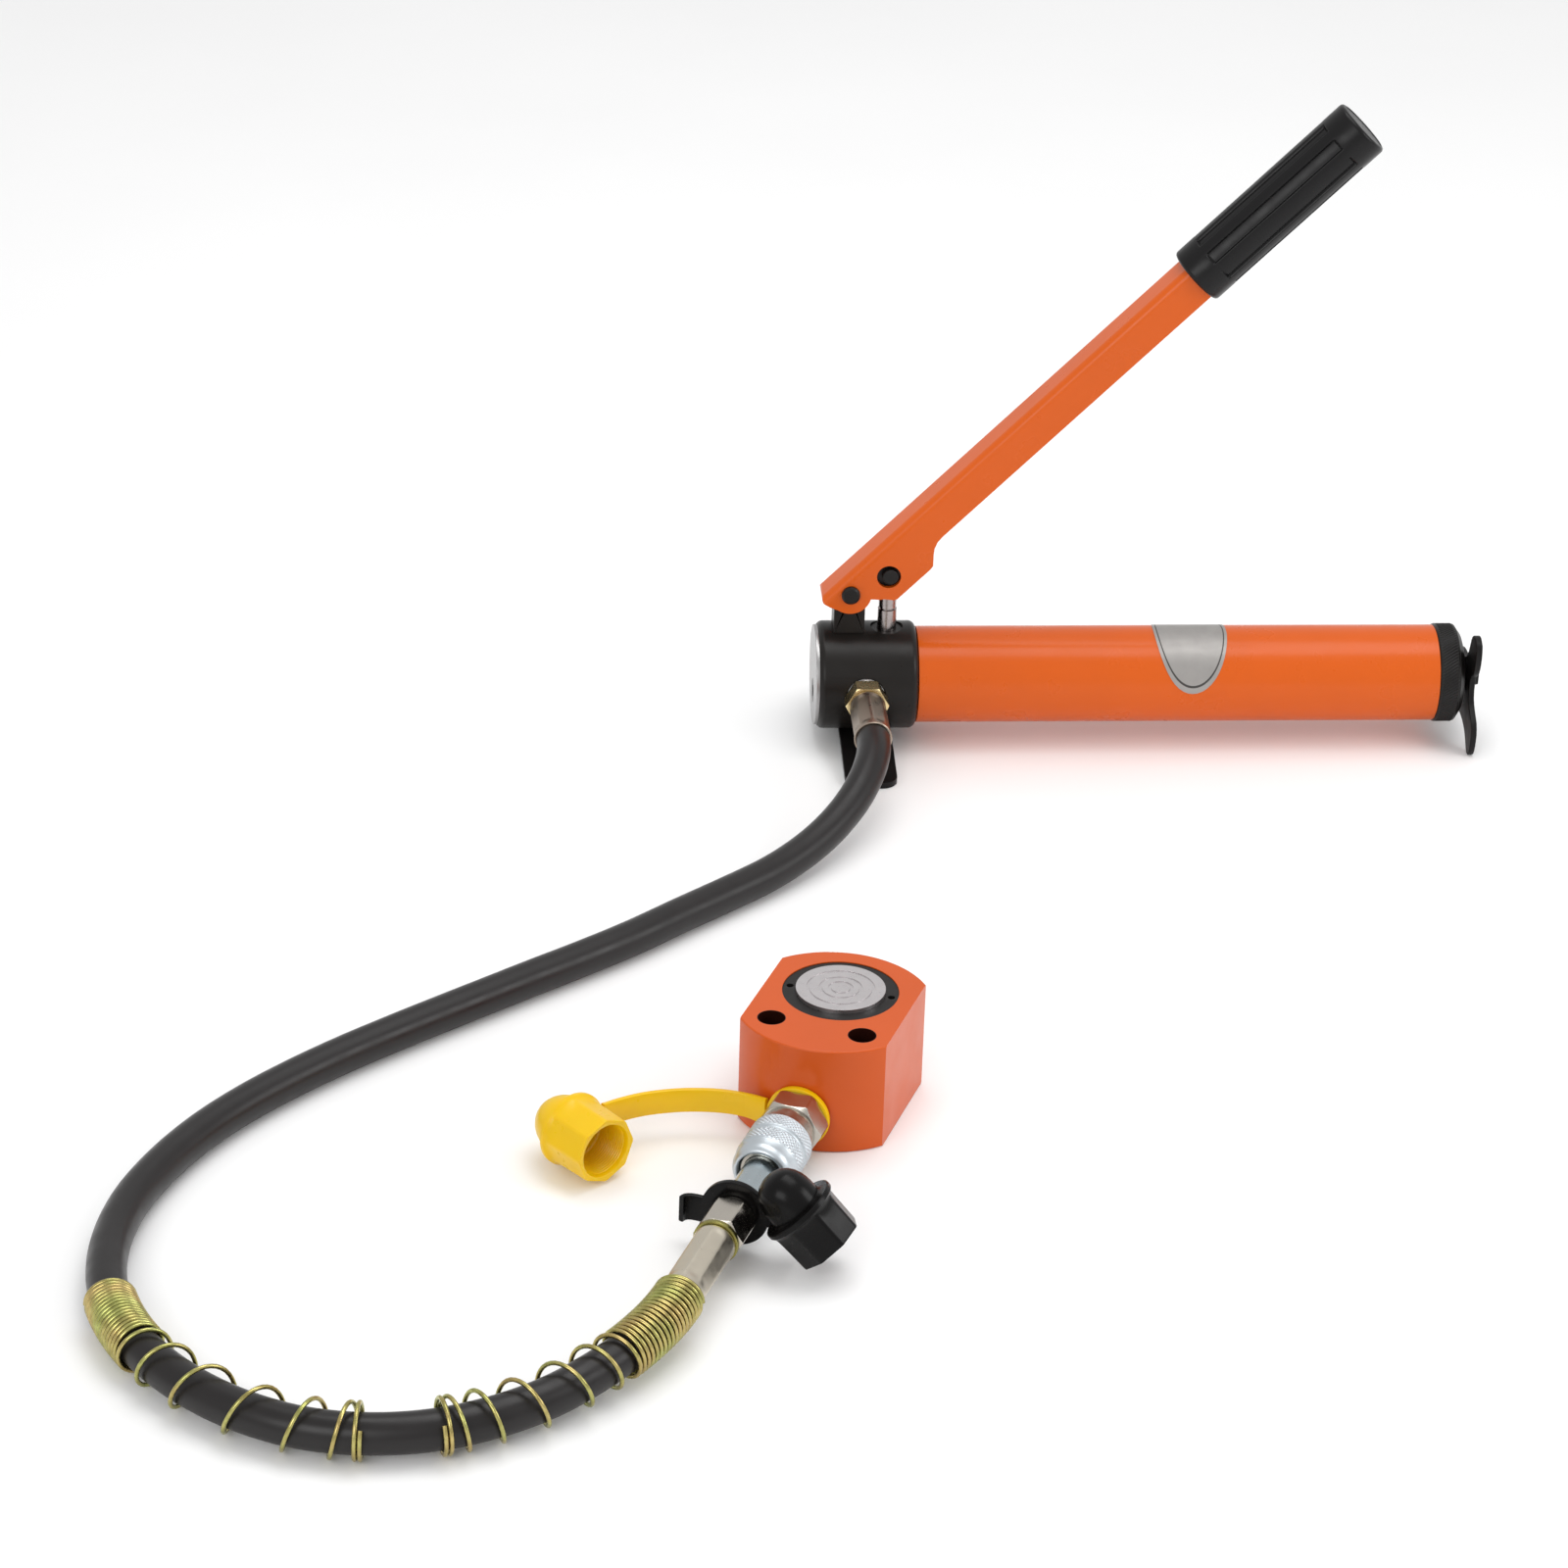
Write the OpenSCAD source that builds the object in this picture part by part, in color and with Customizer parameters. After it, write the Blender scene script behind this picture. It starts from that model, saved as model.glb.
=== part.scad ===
// Hydraulic hand pump with its hose, quick coupler and low-height ram.
// The floor is z = 0, the pump lies along X and its lever swings in the XZ plane.

/* [Pump] */
// Height of the pump's axis above the floor
axis_h = 33; // [32:0.5:35]
// Outside radius of the pump head
head_r = 27.2; // [27:0.1:28]
// Length of the pump head
head_len = 50; // [50:1:52]
// Outside radius of the reservoir tube
tube_r = 24.3; // [24:0.1:24.6]
// Wall of the reservoir tube
tube_wall = 2.5; // [2:0.1:3]
// Length of the reservoir tube that shows
tube_len = 264; // [255:1:265]
// Radius of the knurled rear cap
cap_r = 25; // [24.8:0.1:26]

/* [Lever] */
// Angle of the lever above the horizontal at rest
lever_deg = 45.5; // [45:0.5:46]
// Height of the lever's pivot above the pump's axis
pivot_up = 49; // [48.5:0.5:50]
// Distance from the pivot to the lever's far end
lever_len = 340; // [330:1:345]
// Outside width of the folded lever
lever_w = 21; // [20.6:0.1:21.4]
// Sheet thickness of the lever
lever_t = 2.5; // [2.4:0.1:2.6]
// Radius of the grip
grip_r = 15; // [14.8:0.1:15.4]

/* [Ram] */
// Radius of the ram's round body
body_r = 43.5; // [43:0.5:44]
// Width of the ram's body across its flats
body_w = 66; // [65:1:67]
// Height of the ram's body
body_h = 50; // [48:1:52]
// Radius of the ram plunger
ram_r = 19.6; // [19.4:0.1:20]
// Travel of the ram plunger
ram_travel = 12; // [10:1:12]
// Height of the port and coupler above the floor
port_h = 17.5; // [17:0.5:18]

/* [Hose] */
// Outside radius of the hose
hose_r = 8.5; // [8:0.1:8.5]
// Wire radius of the spring guards
wire_r = 0.95; // [0.8:0.05:1]

/* [Hidden] */
$fn = 64;

orange = [0.87, 0.41, 0.11];
black = [0.15, 0.14, 0.13];
steel = [0.75, 0.75, 0.76];
zinc = [0.72, 0.74, 0.72];
gold = [0.75, 0.69, 0.42];
yellow = [0.94, 0.80, 0.10];
rubber = [0.10, 0.10, 0.10];

eps = 0.3;                       // usual gap between bodies that move past each other
pump_at = [-70, 195, 0];         // centre of the pump head on the floor
ram_at = [-112, -161, 0];        // centre of the ram's body on the floor
ram_turn = -22.5;                // turn of the ram about Z
head_x = head_len / 2;
spigot_len = 12;
tube_ri = tube_r - tube_wall;
tube_x0 = head_x + eps;
tube_x1 = tube_x0 + tube_len;
cap_x0 = tube_x1;
cap_len = 13;
spacer_len = 3.2;
foot_x = cap_x0 + cap_len + spacer_len;   // front face of the rear foot's plate
plate_t = 3;

pivot = [-9.5, 0, axis_h + pivot_up];
piston_x = 10;
pin_along = 20;                  // piston pin's place in the lever's own frame
pin_below = -6.6;
piston_pin_z = pivot[2] + pin_along * sin(lever_deg) + pin_below * cos(lever_deg);
pin_r = 3;
piston_pin_r = 4;
pin_hole_r = 6;
lug_w = 15.5;
lug_y = lever_w - 2 * lever_t - 1;
lever_top = 8.3;                 // top and bottom of the lever about its pivot line
lever_low = -9.7;
grip_x0 = 232;
outlet_x = -1.5;
outlet_face = 25.4;              // spot face under the outlet washer
nut_len = 9.8;
ferrule_start = outlet_face + 1.8 + nut_len;
ferrule_len = 36;
release_x = -12;

ram_y = 9.5;                     // the plunger sits off the body's centre, away from the port
bore_r = 23;
ring_r = 25.5;
ring_h = 7;
ram_stands = 1.6;
hole_x = 20.5;
hole_y = -23.3;
hole_r = 6;

// distances along the coupler's axis from the body's centre
port_face = body_r;
hex_t = port_face + 3;
rings_t = hex_t + 12;
sleeve_t = rings_t + 9;
socket_t = hex_t + 46.5;
nipple_t = 65.5;
tether_t = 124.5;
adaptor_t = 127.5;
collar_t = 148;
ram_ferrule_t = 150.5;
hose_end_t = 192;
nipple_r = 7.75;
sleeve_travel = 4;

// route of the hose's centre line, from the pump's ferrule to the ram's
lay_z = 8.7;
hose_route = [
  [-71.5, 122, 33], [-72.1, 111.5, 32.1], [-74.3, 101, 29.8], [-78.1, 90.5, 26.5],
  [-83.6, 79.8, 22.5], [-91, 68.6, 18.4], [-100.4, 56.6, 14.6], [-112.4, 43.4, 11.5],
  [-128, 28, 9.4], [-148.6, 10, lay_z], [-171.3, -10, lay_z],
  [-194.5, -31, lay_z], [-217.5, -49.5, lay_z], [-240, -66.5, lay_z], [-262, -83.5, lay_z],
  [-284, -100.5, lay_z], [-305.5, -117.5, lay_z], [-326.5, -135, lay_z],
  [-346.5, -153.5, lay_z], [-365.5, -173.5, lay_z], [-383, -196, lay_z],
  [-398, -221.5, lay_z], [-409.5, -249, lay_z], [-415.5, -278, 9.2], [-416, -307, 10.4],
  [-411, -334, 11.2], [-399.5, -360, 11.3], [-382, -383, 11], [-360, -402, 10.9],
  [-335, -415, 10.9], [-308.8, -420, 10.9], [-283, -418, 10.9], [-259.2, -410, 11.1],
  [-239, -398.6, 11.5], [-222.3, -385.6, 12.8], [-208.9, -372.8, 14.3],
  [-198.5, -360.8, 15.9], [-190.8, -349.2, 17], [-185.5, -338.4, 17.5]
];
last = len(hose_route) - 1;
guard_r = 10.1;                  // mean radius of a guard's closed turns
open_r = 11;                     // mean radius of its open turns
open_lift = 1.3;                 // open turns rest on the floor, the hose on the turns

// ---- curves ----
function unit(v) = v / norm(v);
// a smooth curve through a list's points, u counted in points
function cubic(list, u) =
  let(
    i = max(0, min(floor(u), len(list) - 2)),
    t = u - i,
    a = list[max(i - 1, 0)],
    b = list[i],
    c = list[i + 1],
    d = list[min(i + 2, len(list) - 1)]
  )
  0.5 * (2 * b + (c - a) * t + (2 * a - 5 * b + 4 * c - d) * t * t
    + (3 * b - a - 3 * c + d) * t * t * t);
function route_at(u) = cubic(hose_route, u);
function along(u) = unit(route_at(min(u + 0.02, last)) - route_at(max(u - 0.02, 0)));
function sideways(u) = unit(cross(along(u), [0, 0, 1]));
function upwards(u) = cross(sideways(u), along(u));
function ring_at(u, r, n) =
  [for (k = [0:n - 1]) route_at(u) + r * (cos(360 * k / n) * sideways(u)
    + sin(360 * k / n) * upwards(u))];
function coil_dir(u, turn) = cos(turn) * sideways(u) + sin(turn) * upwards(u);
function coil_at(u, turn, r, lift) = route_at(u) + [0, 0, lift] + r * coil_dir(u, turn);
function flat(lists) = [for (l = lists) each l];
// side faces of a tube whose rings of n points follow each other
function skin(rings, n) =
  [for (i = [0:rings - 2], k = [0:n - 1])
    [i * n + k, i * n + (k + 1) % n, (i + 1) * n + (k + 1) % n, (i + 1) * n + k]];

// a solid tube along the hose's route from u0 to u1
module route_tube(u0, u1, r, n, rings) {
  us = [for (i = [0:rings - 1]) u0 + (u1 - u0) * i / (rings - 1)];
  points = flat([for (u = us) ring_at(u, r, n)]);
  caps = [[for (k = [n - 1:-1:0]) k], [for (k = [0:n - 1]) (rings - 1) * n + k]];
  polyhedron(points, concat(skin(rings, n), caps));
}

// an open-ended sleeve along the route
module route_sleeve(u0, u1, r_out, r_in, n, rings) {
  us = [for (i = [0:rings - 1]) u0 + (u1 - u0) * i / (rings - 1)];
  outer = flat([for (u = us) ring_at(u, r_out, n)]);
  inner = flat([for (u = us) ring_at(u, r_in, n)]);
  m = len(outer);
  e = (rings - 1) * n;
  inside = [for (f = skin(rings, n)) [m + f[3], m + f[2], m + f[1], m + f[0]]];
  start = [for (k = [0:n - 1]) [k, m + k, m + (k + 1) % n, (k + 1) % n]];
  end = [for (k = [0:n - 1]) [e + (k + 1) % n, m + e + (k + 1) % n, m + e + k, e + k]];
  polyhedron(concat(outer, inner), concat(skin(rings, n), inside, start, end));
}

// a wire wound round the route for a number of turns
module route_coil(u0, u1, r0, r1, turns, per_turn, n) {
  count = round(turns * per_turn);
  f = [for (i = [0:count]) i / count];
  radius = [for (t = f) r0 + (r1 - r0) * min(1, 3 * t)];
  lift = [for (t = f) open_lift * min(1, 3 * t)];
  pts = [for (i = [0:count]) coil_at(u0 + (u1 - u0) * f[i], 360 * turns * f[i], radius[i], lift[i])];
  out = [for (i = [0:count]) coil_dir(u0 + (u1 - u0) * f[i], 360 * turns * f[i])];
  tan = [for (i = [0:count]) unit(pts[min(i + 1, count)] - pts[max(i - 1, 0)])];
  rings = [for (i = [0:count], k = [0:n - 1])
    pts[i] + wire_r * (cos(360 * k / n) * out[i] - sin(360 * k / n) * unit(cross(tan[i], out[i])))];
  caps = [[for (k = [n - 1:-1:0]) k], [for (k = [0:n - 1]) count * n + k]];
  polyhedron(rings, concat(skin(count + 1, n), caps));
}

// ---- places ----
module at_pump() { translate(pump_at) children(); }
module on_axis() { at_pump() translate([0, 0, axis_h]) children(); }
module at_lever() { at_pump() translate(pivot) rotate([0, -lever_deg, 0]) children(); }
module at_ram() { translate(ram_at) rotate([0, 0, ram_turn]) children(); }
module at_port() { at_ram() translate([0, 0, port_h]) rotate([90, 0, 0]) children(); }
module at_outlet() { on_axis() translate([outlet_x, 0, 0]) rotate([90, 0, 0]) children(); }
module at_release() { on_axis() translate([release_x, 0, 0]) rotate([-90, 0, 0]) children(); }

// ---- plain shapes ----
module rod_x(x0, x1, r) { translate([x0, 0, 0]) rotate([0, 90, 0]) cylinder(h = x1 - x0, r = r); }
module rod_z(z0, z1, r) { translate([0, 0, z0]) cylinder(h = z1 - z0, r = r); }
module rod_y(half, r) { rotate([90, 0, 0]) cylinder(h = 2 * half, r = r, center = true); }
module pipe_z(z0, z1, r, ri) {
  difference() {
    rod_z(z0, z1, r);
    rod_z(z0 - 1, z1 + 1, ri);
  }
}
module hex_z(z0, z1, flats) {
  translate([0, 0, z0]) cylinder(h = z1 - z0, r = flats / 2 / cos(30), $fn = 6);
}
module o_ring(r, w) { rotate_extrude() translate([r, 0]) circle(r = w, $fn = 24); }
// a drum along Z whose end edges are rounded
module round_drum(h, r, edge) {
  rotate_extrude() {
    square([r - edge, h]);
    translate([0, edge]) square([r, h - 2 * edge]);
    for (z = [edge, h - edge]) translate([r - edge, z]) circle(r = edge, $fn = 32);
  }
}

// ---- pump head ----
module pump_head() {
  color(black) on_axis() difference() {
    union() {
      translate([-head_x, 0, 0]) rotate([0, 90, 0]) round_drum(head_len, head_r, 3.5);
      rod_x(head_x - 1, head_x + spigot_len, tube_ri - 0.1);
    }
    translate([piston_x, 0, -15]) cylinder(h = 60, r = 5.3);
    translate([piston_x, 0, head_r - 8]) cylinder(h = 20, r = 8.1);
    translate([pivot[0] - 5.1, -5.1, head_r - 11]) cube([10.2, 10.2, 20]);
    rod_x(-head_x - 1, -head_x + 0.8, 25.6);
    translate([0, 0, -9]) rod_x(-head_x - 1, -head_x + 9.1, 6.05);
    translate([0, 0, -9]) rod_x(-head_x, -2, 3.6);
    translate([0, 0, -9]) rod_x(-2.5, piston_x, 1.8);
    translate([-12, 0, -9]) cylinder(h = 9, r = 1.5);
    rod_x(-12, outlet_x, 1.5);
    translate([outlet_x, -4, 0]) rotate([90, 0, 0]) cylinder(h = 30, r = 6.1);
    translate([outlet_x, 3, 0]) rotate([90, 0, 0]) cylinder(h = 10, r = 1.5);
    translate([outlet_x, -outlet_face, 0]) rotate([90, 0, 0]) cylinder(h = 9, r = 10.2);
    translate([release_x, 0, 0]) rotate([-90, 0, 0]) cylinder(h = 40, r = 1.5);
    translate([release_x, 4, 0]) rotate([-90, 0, 0]) cylinder(h = 40, r = 4.1);
    translate([release_x, 25.6, 0]) rotate([-90, 0, 0]) cylinder(h = 9, r = 10);
    translate([0, 0, -15]) rod_x(piston_x, head_x + spigot_len + 1, 1.8);
    translate([0, 0, -15]) rod_x(head_x - 4, head_x + spigot_len + 1, 4.1);
    rod_x(head_x + 2, head_x + spigot_len + 1, 4.05);
    translate([-20, -14, -head_r - 1]) cube([40, 28, 2.2]);
    for (x = [-8, 8]) translate([x, 0, -head_r - 1]) cylinder(h = 9, r = 2.1);
  }
}

module face_plate() {
  color(steel) on_axis() difference() {
    rod_x(-head_x - 1.2, -head_x + 0.8, 25.3);
    translate([0, 0, -9]) rod_x(-head_x - 2, -head_x + 1, 6.2);
  }
}

module relief_plug() {
  color(black) on_axis() translate([0, 0, -9]) difference() {
    rod_x(-head_x - 0.9, -head_x + 9, 6);
    translate([-head_x - 1, 0, 0]) rotate([0, 90, 0]) cylinder(h = 4.5, r = 3.2, $fn = 6);
  }
}

module delivery_spring() {
  color(steel) on_axis() translate([0, 0, -9]) difference() {
    rod_x(-head_x + 9.2, -8.4, 2.6);
    rod_x(-head_x + 9, -8, 1.9);
  }
}
module delivery_ball() { color(steel) on_axis() translate([-5.2, 0, -9]) sphere(r = 3); }
module suction_ball() { color(steel) on_axis() translate([head_x - 0.8, 0, -15]) sphere(r = 3); }
module suction_seat() {
  color(steel) on_axis() translate([0, 0, -15]) difference() {
    rod_x(head_x + 3, head_x + spigot_len - 1, 4);
    rod_x(head_x, head_x + spigot_len, 1.8);
  }
}

module fulcrum_lug() {
  base = axis_h + head_r - 1.2;
  color(black) at_pump() difference() {
    union() {
      translate([pivot[0] - lug_w / 2, -lug_y / 2, base]) cube([lug_w, lug_y, pivot[2] - 2 - base]);
      translate(pivot) rod_y(lug_y / 2, 5);
      translate([pivot[0] - 5, -5, axis_h + head_r - 10.8]) cube([10, 10, 12]);
    }
    head_round();
    translate(pivot) rod_y(20, pin_r + 0.05);
  }
}
// takes the round of the head out of the lug's foot, outside its tenon
module head_round() {
  difference() {
    translate([0, 0, axis_h]) rod_x(-head_x, head_x, head_r + 0.02);
    translate([pivot[0] - 5, -5, axis_h]) cube([10, 10, head_r + 5]);
  }
}

module gland_nut() {
  color(black) at_pump() translate([piston_x, 0, axis_h]) difference() {
    rod_z(head_r - 7.9, head_r - 1.2, 8);
    rod_z(head_r - 9, head_r + 4, 4.8);
    rod_z(head_r - 9, head_r - 5.2, 6.6);
  }
}
module piston_seal() {
  color(rubber) at_pump() translate([piston_x, 0, axis_h + head_r - 6.6]) pipe_z(-1.1, 1.1, 6.5, 4.78);
}
module piston() {
  color(steel) at_pump() translate([piston_x, 0, 0]) difference() {
    union() {
      rod_z(axis_h + 3, 70, 4.75);
      rod_z(70, 71, 3.6);
      rod_z(71, piston_pin_z - 4, 4.4);
      translate([0, 0, piston_pin_z]) rod_y(lug_y / 2 - 1.35, 7);
    }
    translate([0, 0, piston_pin_z]) rod_y(20, piston_pin_r);
  }
}
// the pin and a washer on each side of the piston's eye
module piston_pin() {
  outer = lug_y / 2 - 0.3;
  color(black) at_pump() translate([piston_x, 0, piston_pin_z]) rotate([90, 0, 0]) {
    translate([0, 0, -lever_w / 2 - 1]) round_drum(lever_w + 2, piston_pin_r, 0.8);
    for (z = [-outer, outer - 1]) rod_z(z, z + 1, 6.9);
  }
}

// ---- lever ----
// side view of the folded sheet, x along the lever and y up from its pivot line
module lever_side() {
  lobe = [for (a = [-60:-10:-170]) 10.5 * [cos(a), sin(a)]];
  nose = [for (a = [180:-15:90]) [-10.5 + 2.5 * cos(a), lever_top - 2.5 + 2.5 * sin(a)]];
  polygon(concat(lobe, [[-12, 2]], nose, [[lever_len - 10, lever_top], [lever_len - 10, lever_low],
    [54, lever_low], [50, lever_low - 0.4], [46.5, -11.6], [44, -13.6], [39.5, -18], [37, -18.4],
    [14.5, -18.4], [13, -17.6], [10, -13.8], [8, -12.2], [6.5, -10.4]]));
}
// cross section of the folded sheet
module lever_fold(w, top, r) {
  low = -30;
  translate([-w / 2, low]) square([w, top - r - low]);
  translate([-w / 2 + r, low]) square([w - 2 * r, top - low]);
  for (y = [-w / 2 + r, w / 2 - r]) translate([y, top - r]) circle(r = r, $fn = 32);
}
module handle() {
  color(orange) at_lever() difference() {
    intersection() {
      rotate([90, 0, 0]) linear_extrude(lever_w + 2, center = true) lever_side();
      translate([-30, 0, 0]) rotate([90, 0, 90]) linear_extrude(lever_len + 60) difference() {
        lever_fold(lever_w, lever_top, 4.2);
        lever_fold(lever_w - 2 * lever_t, lever_top - lever_t, 1.7);
      }
    }
    rod_y(20, pin_r + 0.02);
    translate([pin_along, 0, pin_below]) rod_y(20, pin_hole_r);
  }
}
module handle_grip() {
  mid = (lever_top + lever_low) / 2;
  len = lever_len - grip_x0;
  color(black) at_lever() translate([grip_x0, 0, mid]) difference() {
    rotate([0, 90, 0]) round_drum(len, grip_r, 1.8);
    translate([-1, -lever_w / 2, (lever_low - lever_top) / 2]) cube([len - 9, lever_w, lever_top - lever_low]);
    rod_x(len - 1.5, len + 1, grip_r - 3.5);
    for (k = [0:9]) rotate([18 + 36 * k, 0, 0]) translate([0, 0, grip_r + 1.6]) rod_x(13, len - 13, 3.2);
  }
}
module pivot_pin() {
  color(black) at_pump() translate(pivot) rotate([90, 0, 0]) {
    rod_z(-lever_w / 2 - 3, lever_w / 2, pin_r);
    translate([0, 0, lever_w / 2]) cylinder(h = 1.6, r = 4.6);
    translate([0, 0, lever_w / 2 + 1.6]) cylinder(h = 0.9, r1 = 4.6, r2 = 3.6);
  }
}
module pivot_clip() {
  color(steel) at_pump() translate(pivot) rotate([90, 0, 0]) difference() {
    pipe_z(-lever_w / 2 - 1.3, -lever_w / 2 - 0.3, 5.4, pin_r);
    translate([-1.6, 0, -lever_w]) cube([3.2, 8, 20]);
  }
}

// ---- reservoir ----
module reservoir_tube() {
  color(orange) on_axis() difference() {
    rod_x(tube_x0, tube_x1, tube_r);
    rod_x(tube_x0 - 1, tube_x1 + 1, tube_ri);
  }
}
module tube_seals() {
  color(rubber) on_axis() for (x = [tube_x0 + spigot_len, tube_x1 - 9.2])
    translate([x, 0, 0]) rotate([0, 90, 0]) pipe_z(0, 1.8, tube_ri - 0.2, tube_ri - 2.6);
}
module oil_bladder() {
  color(rubber) on_axis() difference() {
    translate([tube_x0 + 18, 0, 0]) rotate([0, 90, 0]) round_drum(tube_len - 36, 19, 6);
    translate([tube_x0 + 20, 0, 0]) rotate([0, 90, 0]) round_drum(tube_len - 40, 17, 5);
    rod_x(tube_x0, tube_x1, 4.6);
  }
}
module tie_rod() { color(steel) on_axis() rod_x(head_x + 2.2, foot_x + plate_t + 4.8, 4); }
module rear_cap() {
  color(black) on_axis() difference() {
    union() {
      translate([cap_x0, 0, 0]) rotate([0, 90, 0]) rotate_extrude() polygon([
        [0, 0], [cap_r, 0], [cap_r, cap_len - 2.6], [cap_r - 3.4, cap_len], [0, cap_len]]);
      rod_x(cap_x0 - 7, cap_x0 + 1, tube_ri - 0.1);
    }
    rod_x(cap_x0 - 8, cap_x0 + 20, 4.1);
  }
}
module foot_spacer() {
  color(black) on_axis() translate([cap_x0 + cap_len, 0, 0]) rotate([0, 90, 0])
    pipe_z(0, spacer_len, 9, 4.1);
}

// outline of the rear foot seen from behind, y and then height, from the near toe round to the far one:
// it has a horn beside the lever's seat on the near side only
foot_outline = [
  [0, 11.5], [-10, 10.5], [-18, 7], [-23.5, 1.4], [-26.5, 0], [-29.4, 1], [-31.6, 6], [-32, 13],
  [-29.5, 18.5], [-23, 22.5], [-18.4, 27], [-17.4, 34], [-18.6, 39], [-23.5, 43], [-25.8, 49],
  [-26, 56], [-24, 60], [-19, 61.8], [-14.5, 60.5], [-11.5, 57], [-9, 50], [-5, 44.5], [0, 42.4],
  [8, 42], [14, 40.8], [17.6, 37.5], [18.2, 33], [18.6, 27], [23, 22.5], [29.5, 18.5], [32, 13],
  [31.6, 6], [29.4, 1], [26.5, 0], [23.5, 1.4], [18, 7], [10, 10.5], [0, 11.5]
];
module rear_foot() {
  smooth = [for (i = [0:len(foot_outline) * 2 - 3]) cubic(foot_outline, i / 2)];
  outline = [for (p = smooth) [p[0], max(0, p[1])]];
  color(black) at_pump() translate([foot_x, 0, 0]) rotate([90, 0, 90]) difference() {
    linear_extrude(plate_t) polygon(outline);
    translate([0, axis_h, -1]) cylinder(h = 10, r = 4.1);
  }
}
module rear_foot_nut() {
  color(steel) on_axis() translate([foot_x + plate_t, 0, 0]) rotate([0, 90, 0]) difference() {
    hex_z(0, 4.2, 13);
    rod_z(-1, 8, 4.02);
  }
}

// side view of the bent strap that is the front foot
strap = [
  [0, 4.2], [14, 4.2], [24, 3.7], [34, 2.6], [44, 1.1], [51, 0.3], [56, 0], [62, 0], [62, 3],
  [56, 3.1], [50, 3.5], [43, 4.3], [33, 5.8], [24, 6.7], [14, 7], [0, 7]
];
module front_foot() {
  w = 26;
  back = [for (i = [len(strap) - 1:-1:0]) [-strap[i][0], strap[i][1]]];
  color(black) at_pump() difference() {
    intersection() {
      rotate([90, 0, 90]) linear_extrude(w, center = true) union() {
        polygon(strap);
        polygon(back);
      }
      union() {
        translate([-w / 2, -52, -1]) cube([w, 104, 12]);
        translate([-w / 2 + 8, -62, -1]) cube([w - 16, 124, 12]);
        for (x = [-5, 5], y = [-54, 54]) translate([x, y, -1]) cylinder(h = 12, r = 8);
      }
    }
    for (x = [-8, 8]) translate([x, 0, 0]) cylinder(h = 12, r = 2.2);
    for (x = [-8, 8]) translate([x, 0, 4.1]) cylinder(h = 1.9, r1 = 3.9, r2 = 2.1);
  }
}
module front_foot_screws() {
  color(steel) at_pump() for (x = [-8, 8]) translate([x, 0, 4.3]) {
    cylinder(h = 8, r = 2);
    cylinder(h = 1.7, r1 = 3.7, r2 = 2);
  }
}

// ---- release valve ----
module release_valve() {
  color(black) at_release() difference() {
    union() {
      rod_z(8.5, 26, 4);
      translate([0, 0, 26]) round_drum(13, 9.4, 1);
    }
    for (k = [0:11]) rotate([0, 0, 30 * k]) translate([10.2, 0, 28]) cylinder(h = 14, r = 1.4);
  }
}
module release_ball() { color(steel) at_release() translate([0, 0, 5.9]) sphere(r = 2.4); }

// ---- blank label ----
module label_plate() {
  half = 38;
  side = [for (a = [0:7.5:180]) [18.5 * cos(a), axis_h + tube_r * cos(half / tube_r * 180 / PI * sin(a))]];
  color(steel) at_pump() intersection() {
    translate([0, 0, axis_h]) difference() {
      rod_x(140, 190, tube_r + 0.25);
      rod_x(139, 191, tube_r);
    }
    translate([163.5, 0, 0]) rotate([90, 0, 0]) linear_extrude(80, center = true)
      polygon(concat(side, [[-18.5, 70], [18.5, 70]]));
  }
}

// ---- outlet ----
module outlet_washer() { color(steel) at_outlet() pipe_z(outlet_face, outlet_face + 1.8, 9.6, 6.1); }
module outlet_nut() {
  s = outlet_face + 1.8;
  color(gold) at_outlet() difference() {
    union() {
      intersection() {
        hex_z(s, s + nut_len, 19);
        translate([0, 0, s]) round_drum(nut_len, 11, 1.2);
      }
      rod_z(14, s + 1, 6);
    }
    rod_z(10, s + 20, 3);
  }
}
module hose_ferrule_pump() {
  color(zinc) at_outlet() difference() {
    union() {
      rod_z(ferrule_start, ferrule_start + ferrule_len, 9);
      rod_z(ferrule_start + ferrule_len - 1.4, ferrule_start + ferrule_len, 9.4);
    }
    rod_z(ferrule_start - 1, ferrule_start + ferrule_len - 4, 3);
  }
}

// ---- hose and its guards ----
module hose() { color(black) route_tube(0, last, hose_r, 12, 2 * last + 1); }
module spring_guard_pump() {
  color(gold) {
    route_sleeve(24.75, 26.05, guard_r + wire_r, guard_r - wire_r, 16, 7);
    route_coil(26.1, 29.9, guard_r, open_r, 6, 20, 6);
  }
}
module spring_guard_ram() {
  color(gold) {
    route_sleeve(34.9, last - 0.15, guard_r + wire_r, guard_r - wire_r, 16, 6);
    route_coil(34.85, 31.2, guard_r, open_r, 5.5, 20, 6);
  }
}
module hose_ferrule_ram() {
  color(zinc) at_port() difference() {
    rod_z(ram_ferrule_t, hose_end_t, 9);
    rod_z(ram_ferrule_t - 1, hose_end_t - 6, 3);
  }
}
module hose_adaptor() {
  color(zinc) at_port() difference() {
    union() {
      rod_z(adaptor_t, adaptor_t + 4, 8.6);
      intersection() {
        hex_z(adaptor_t + 3.5, collar_t, 19);
        translate([0, 0, adaptor_t + 3.5]) round_drum(collar_t - adaptor_t - 3.5, 11, 1.2);
      }
      rod_z(collar_t, ram_ferrule_t, 9.8);
    }
    rod_z(adaptor_t - 1, ram_ferrule_t + 1, 3);
  }
}

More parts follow.
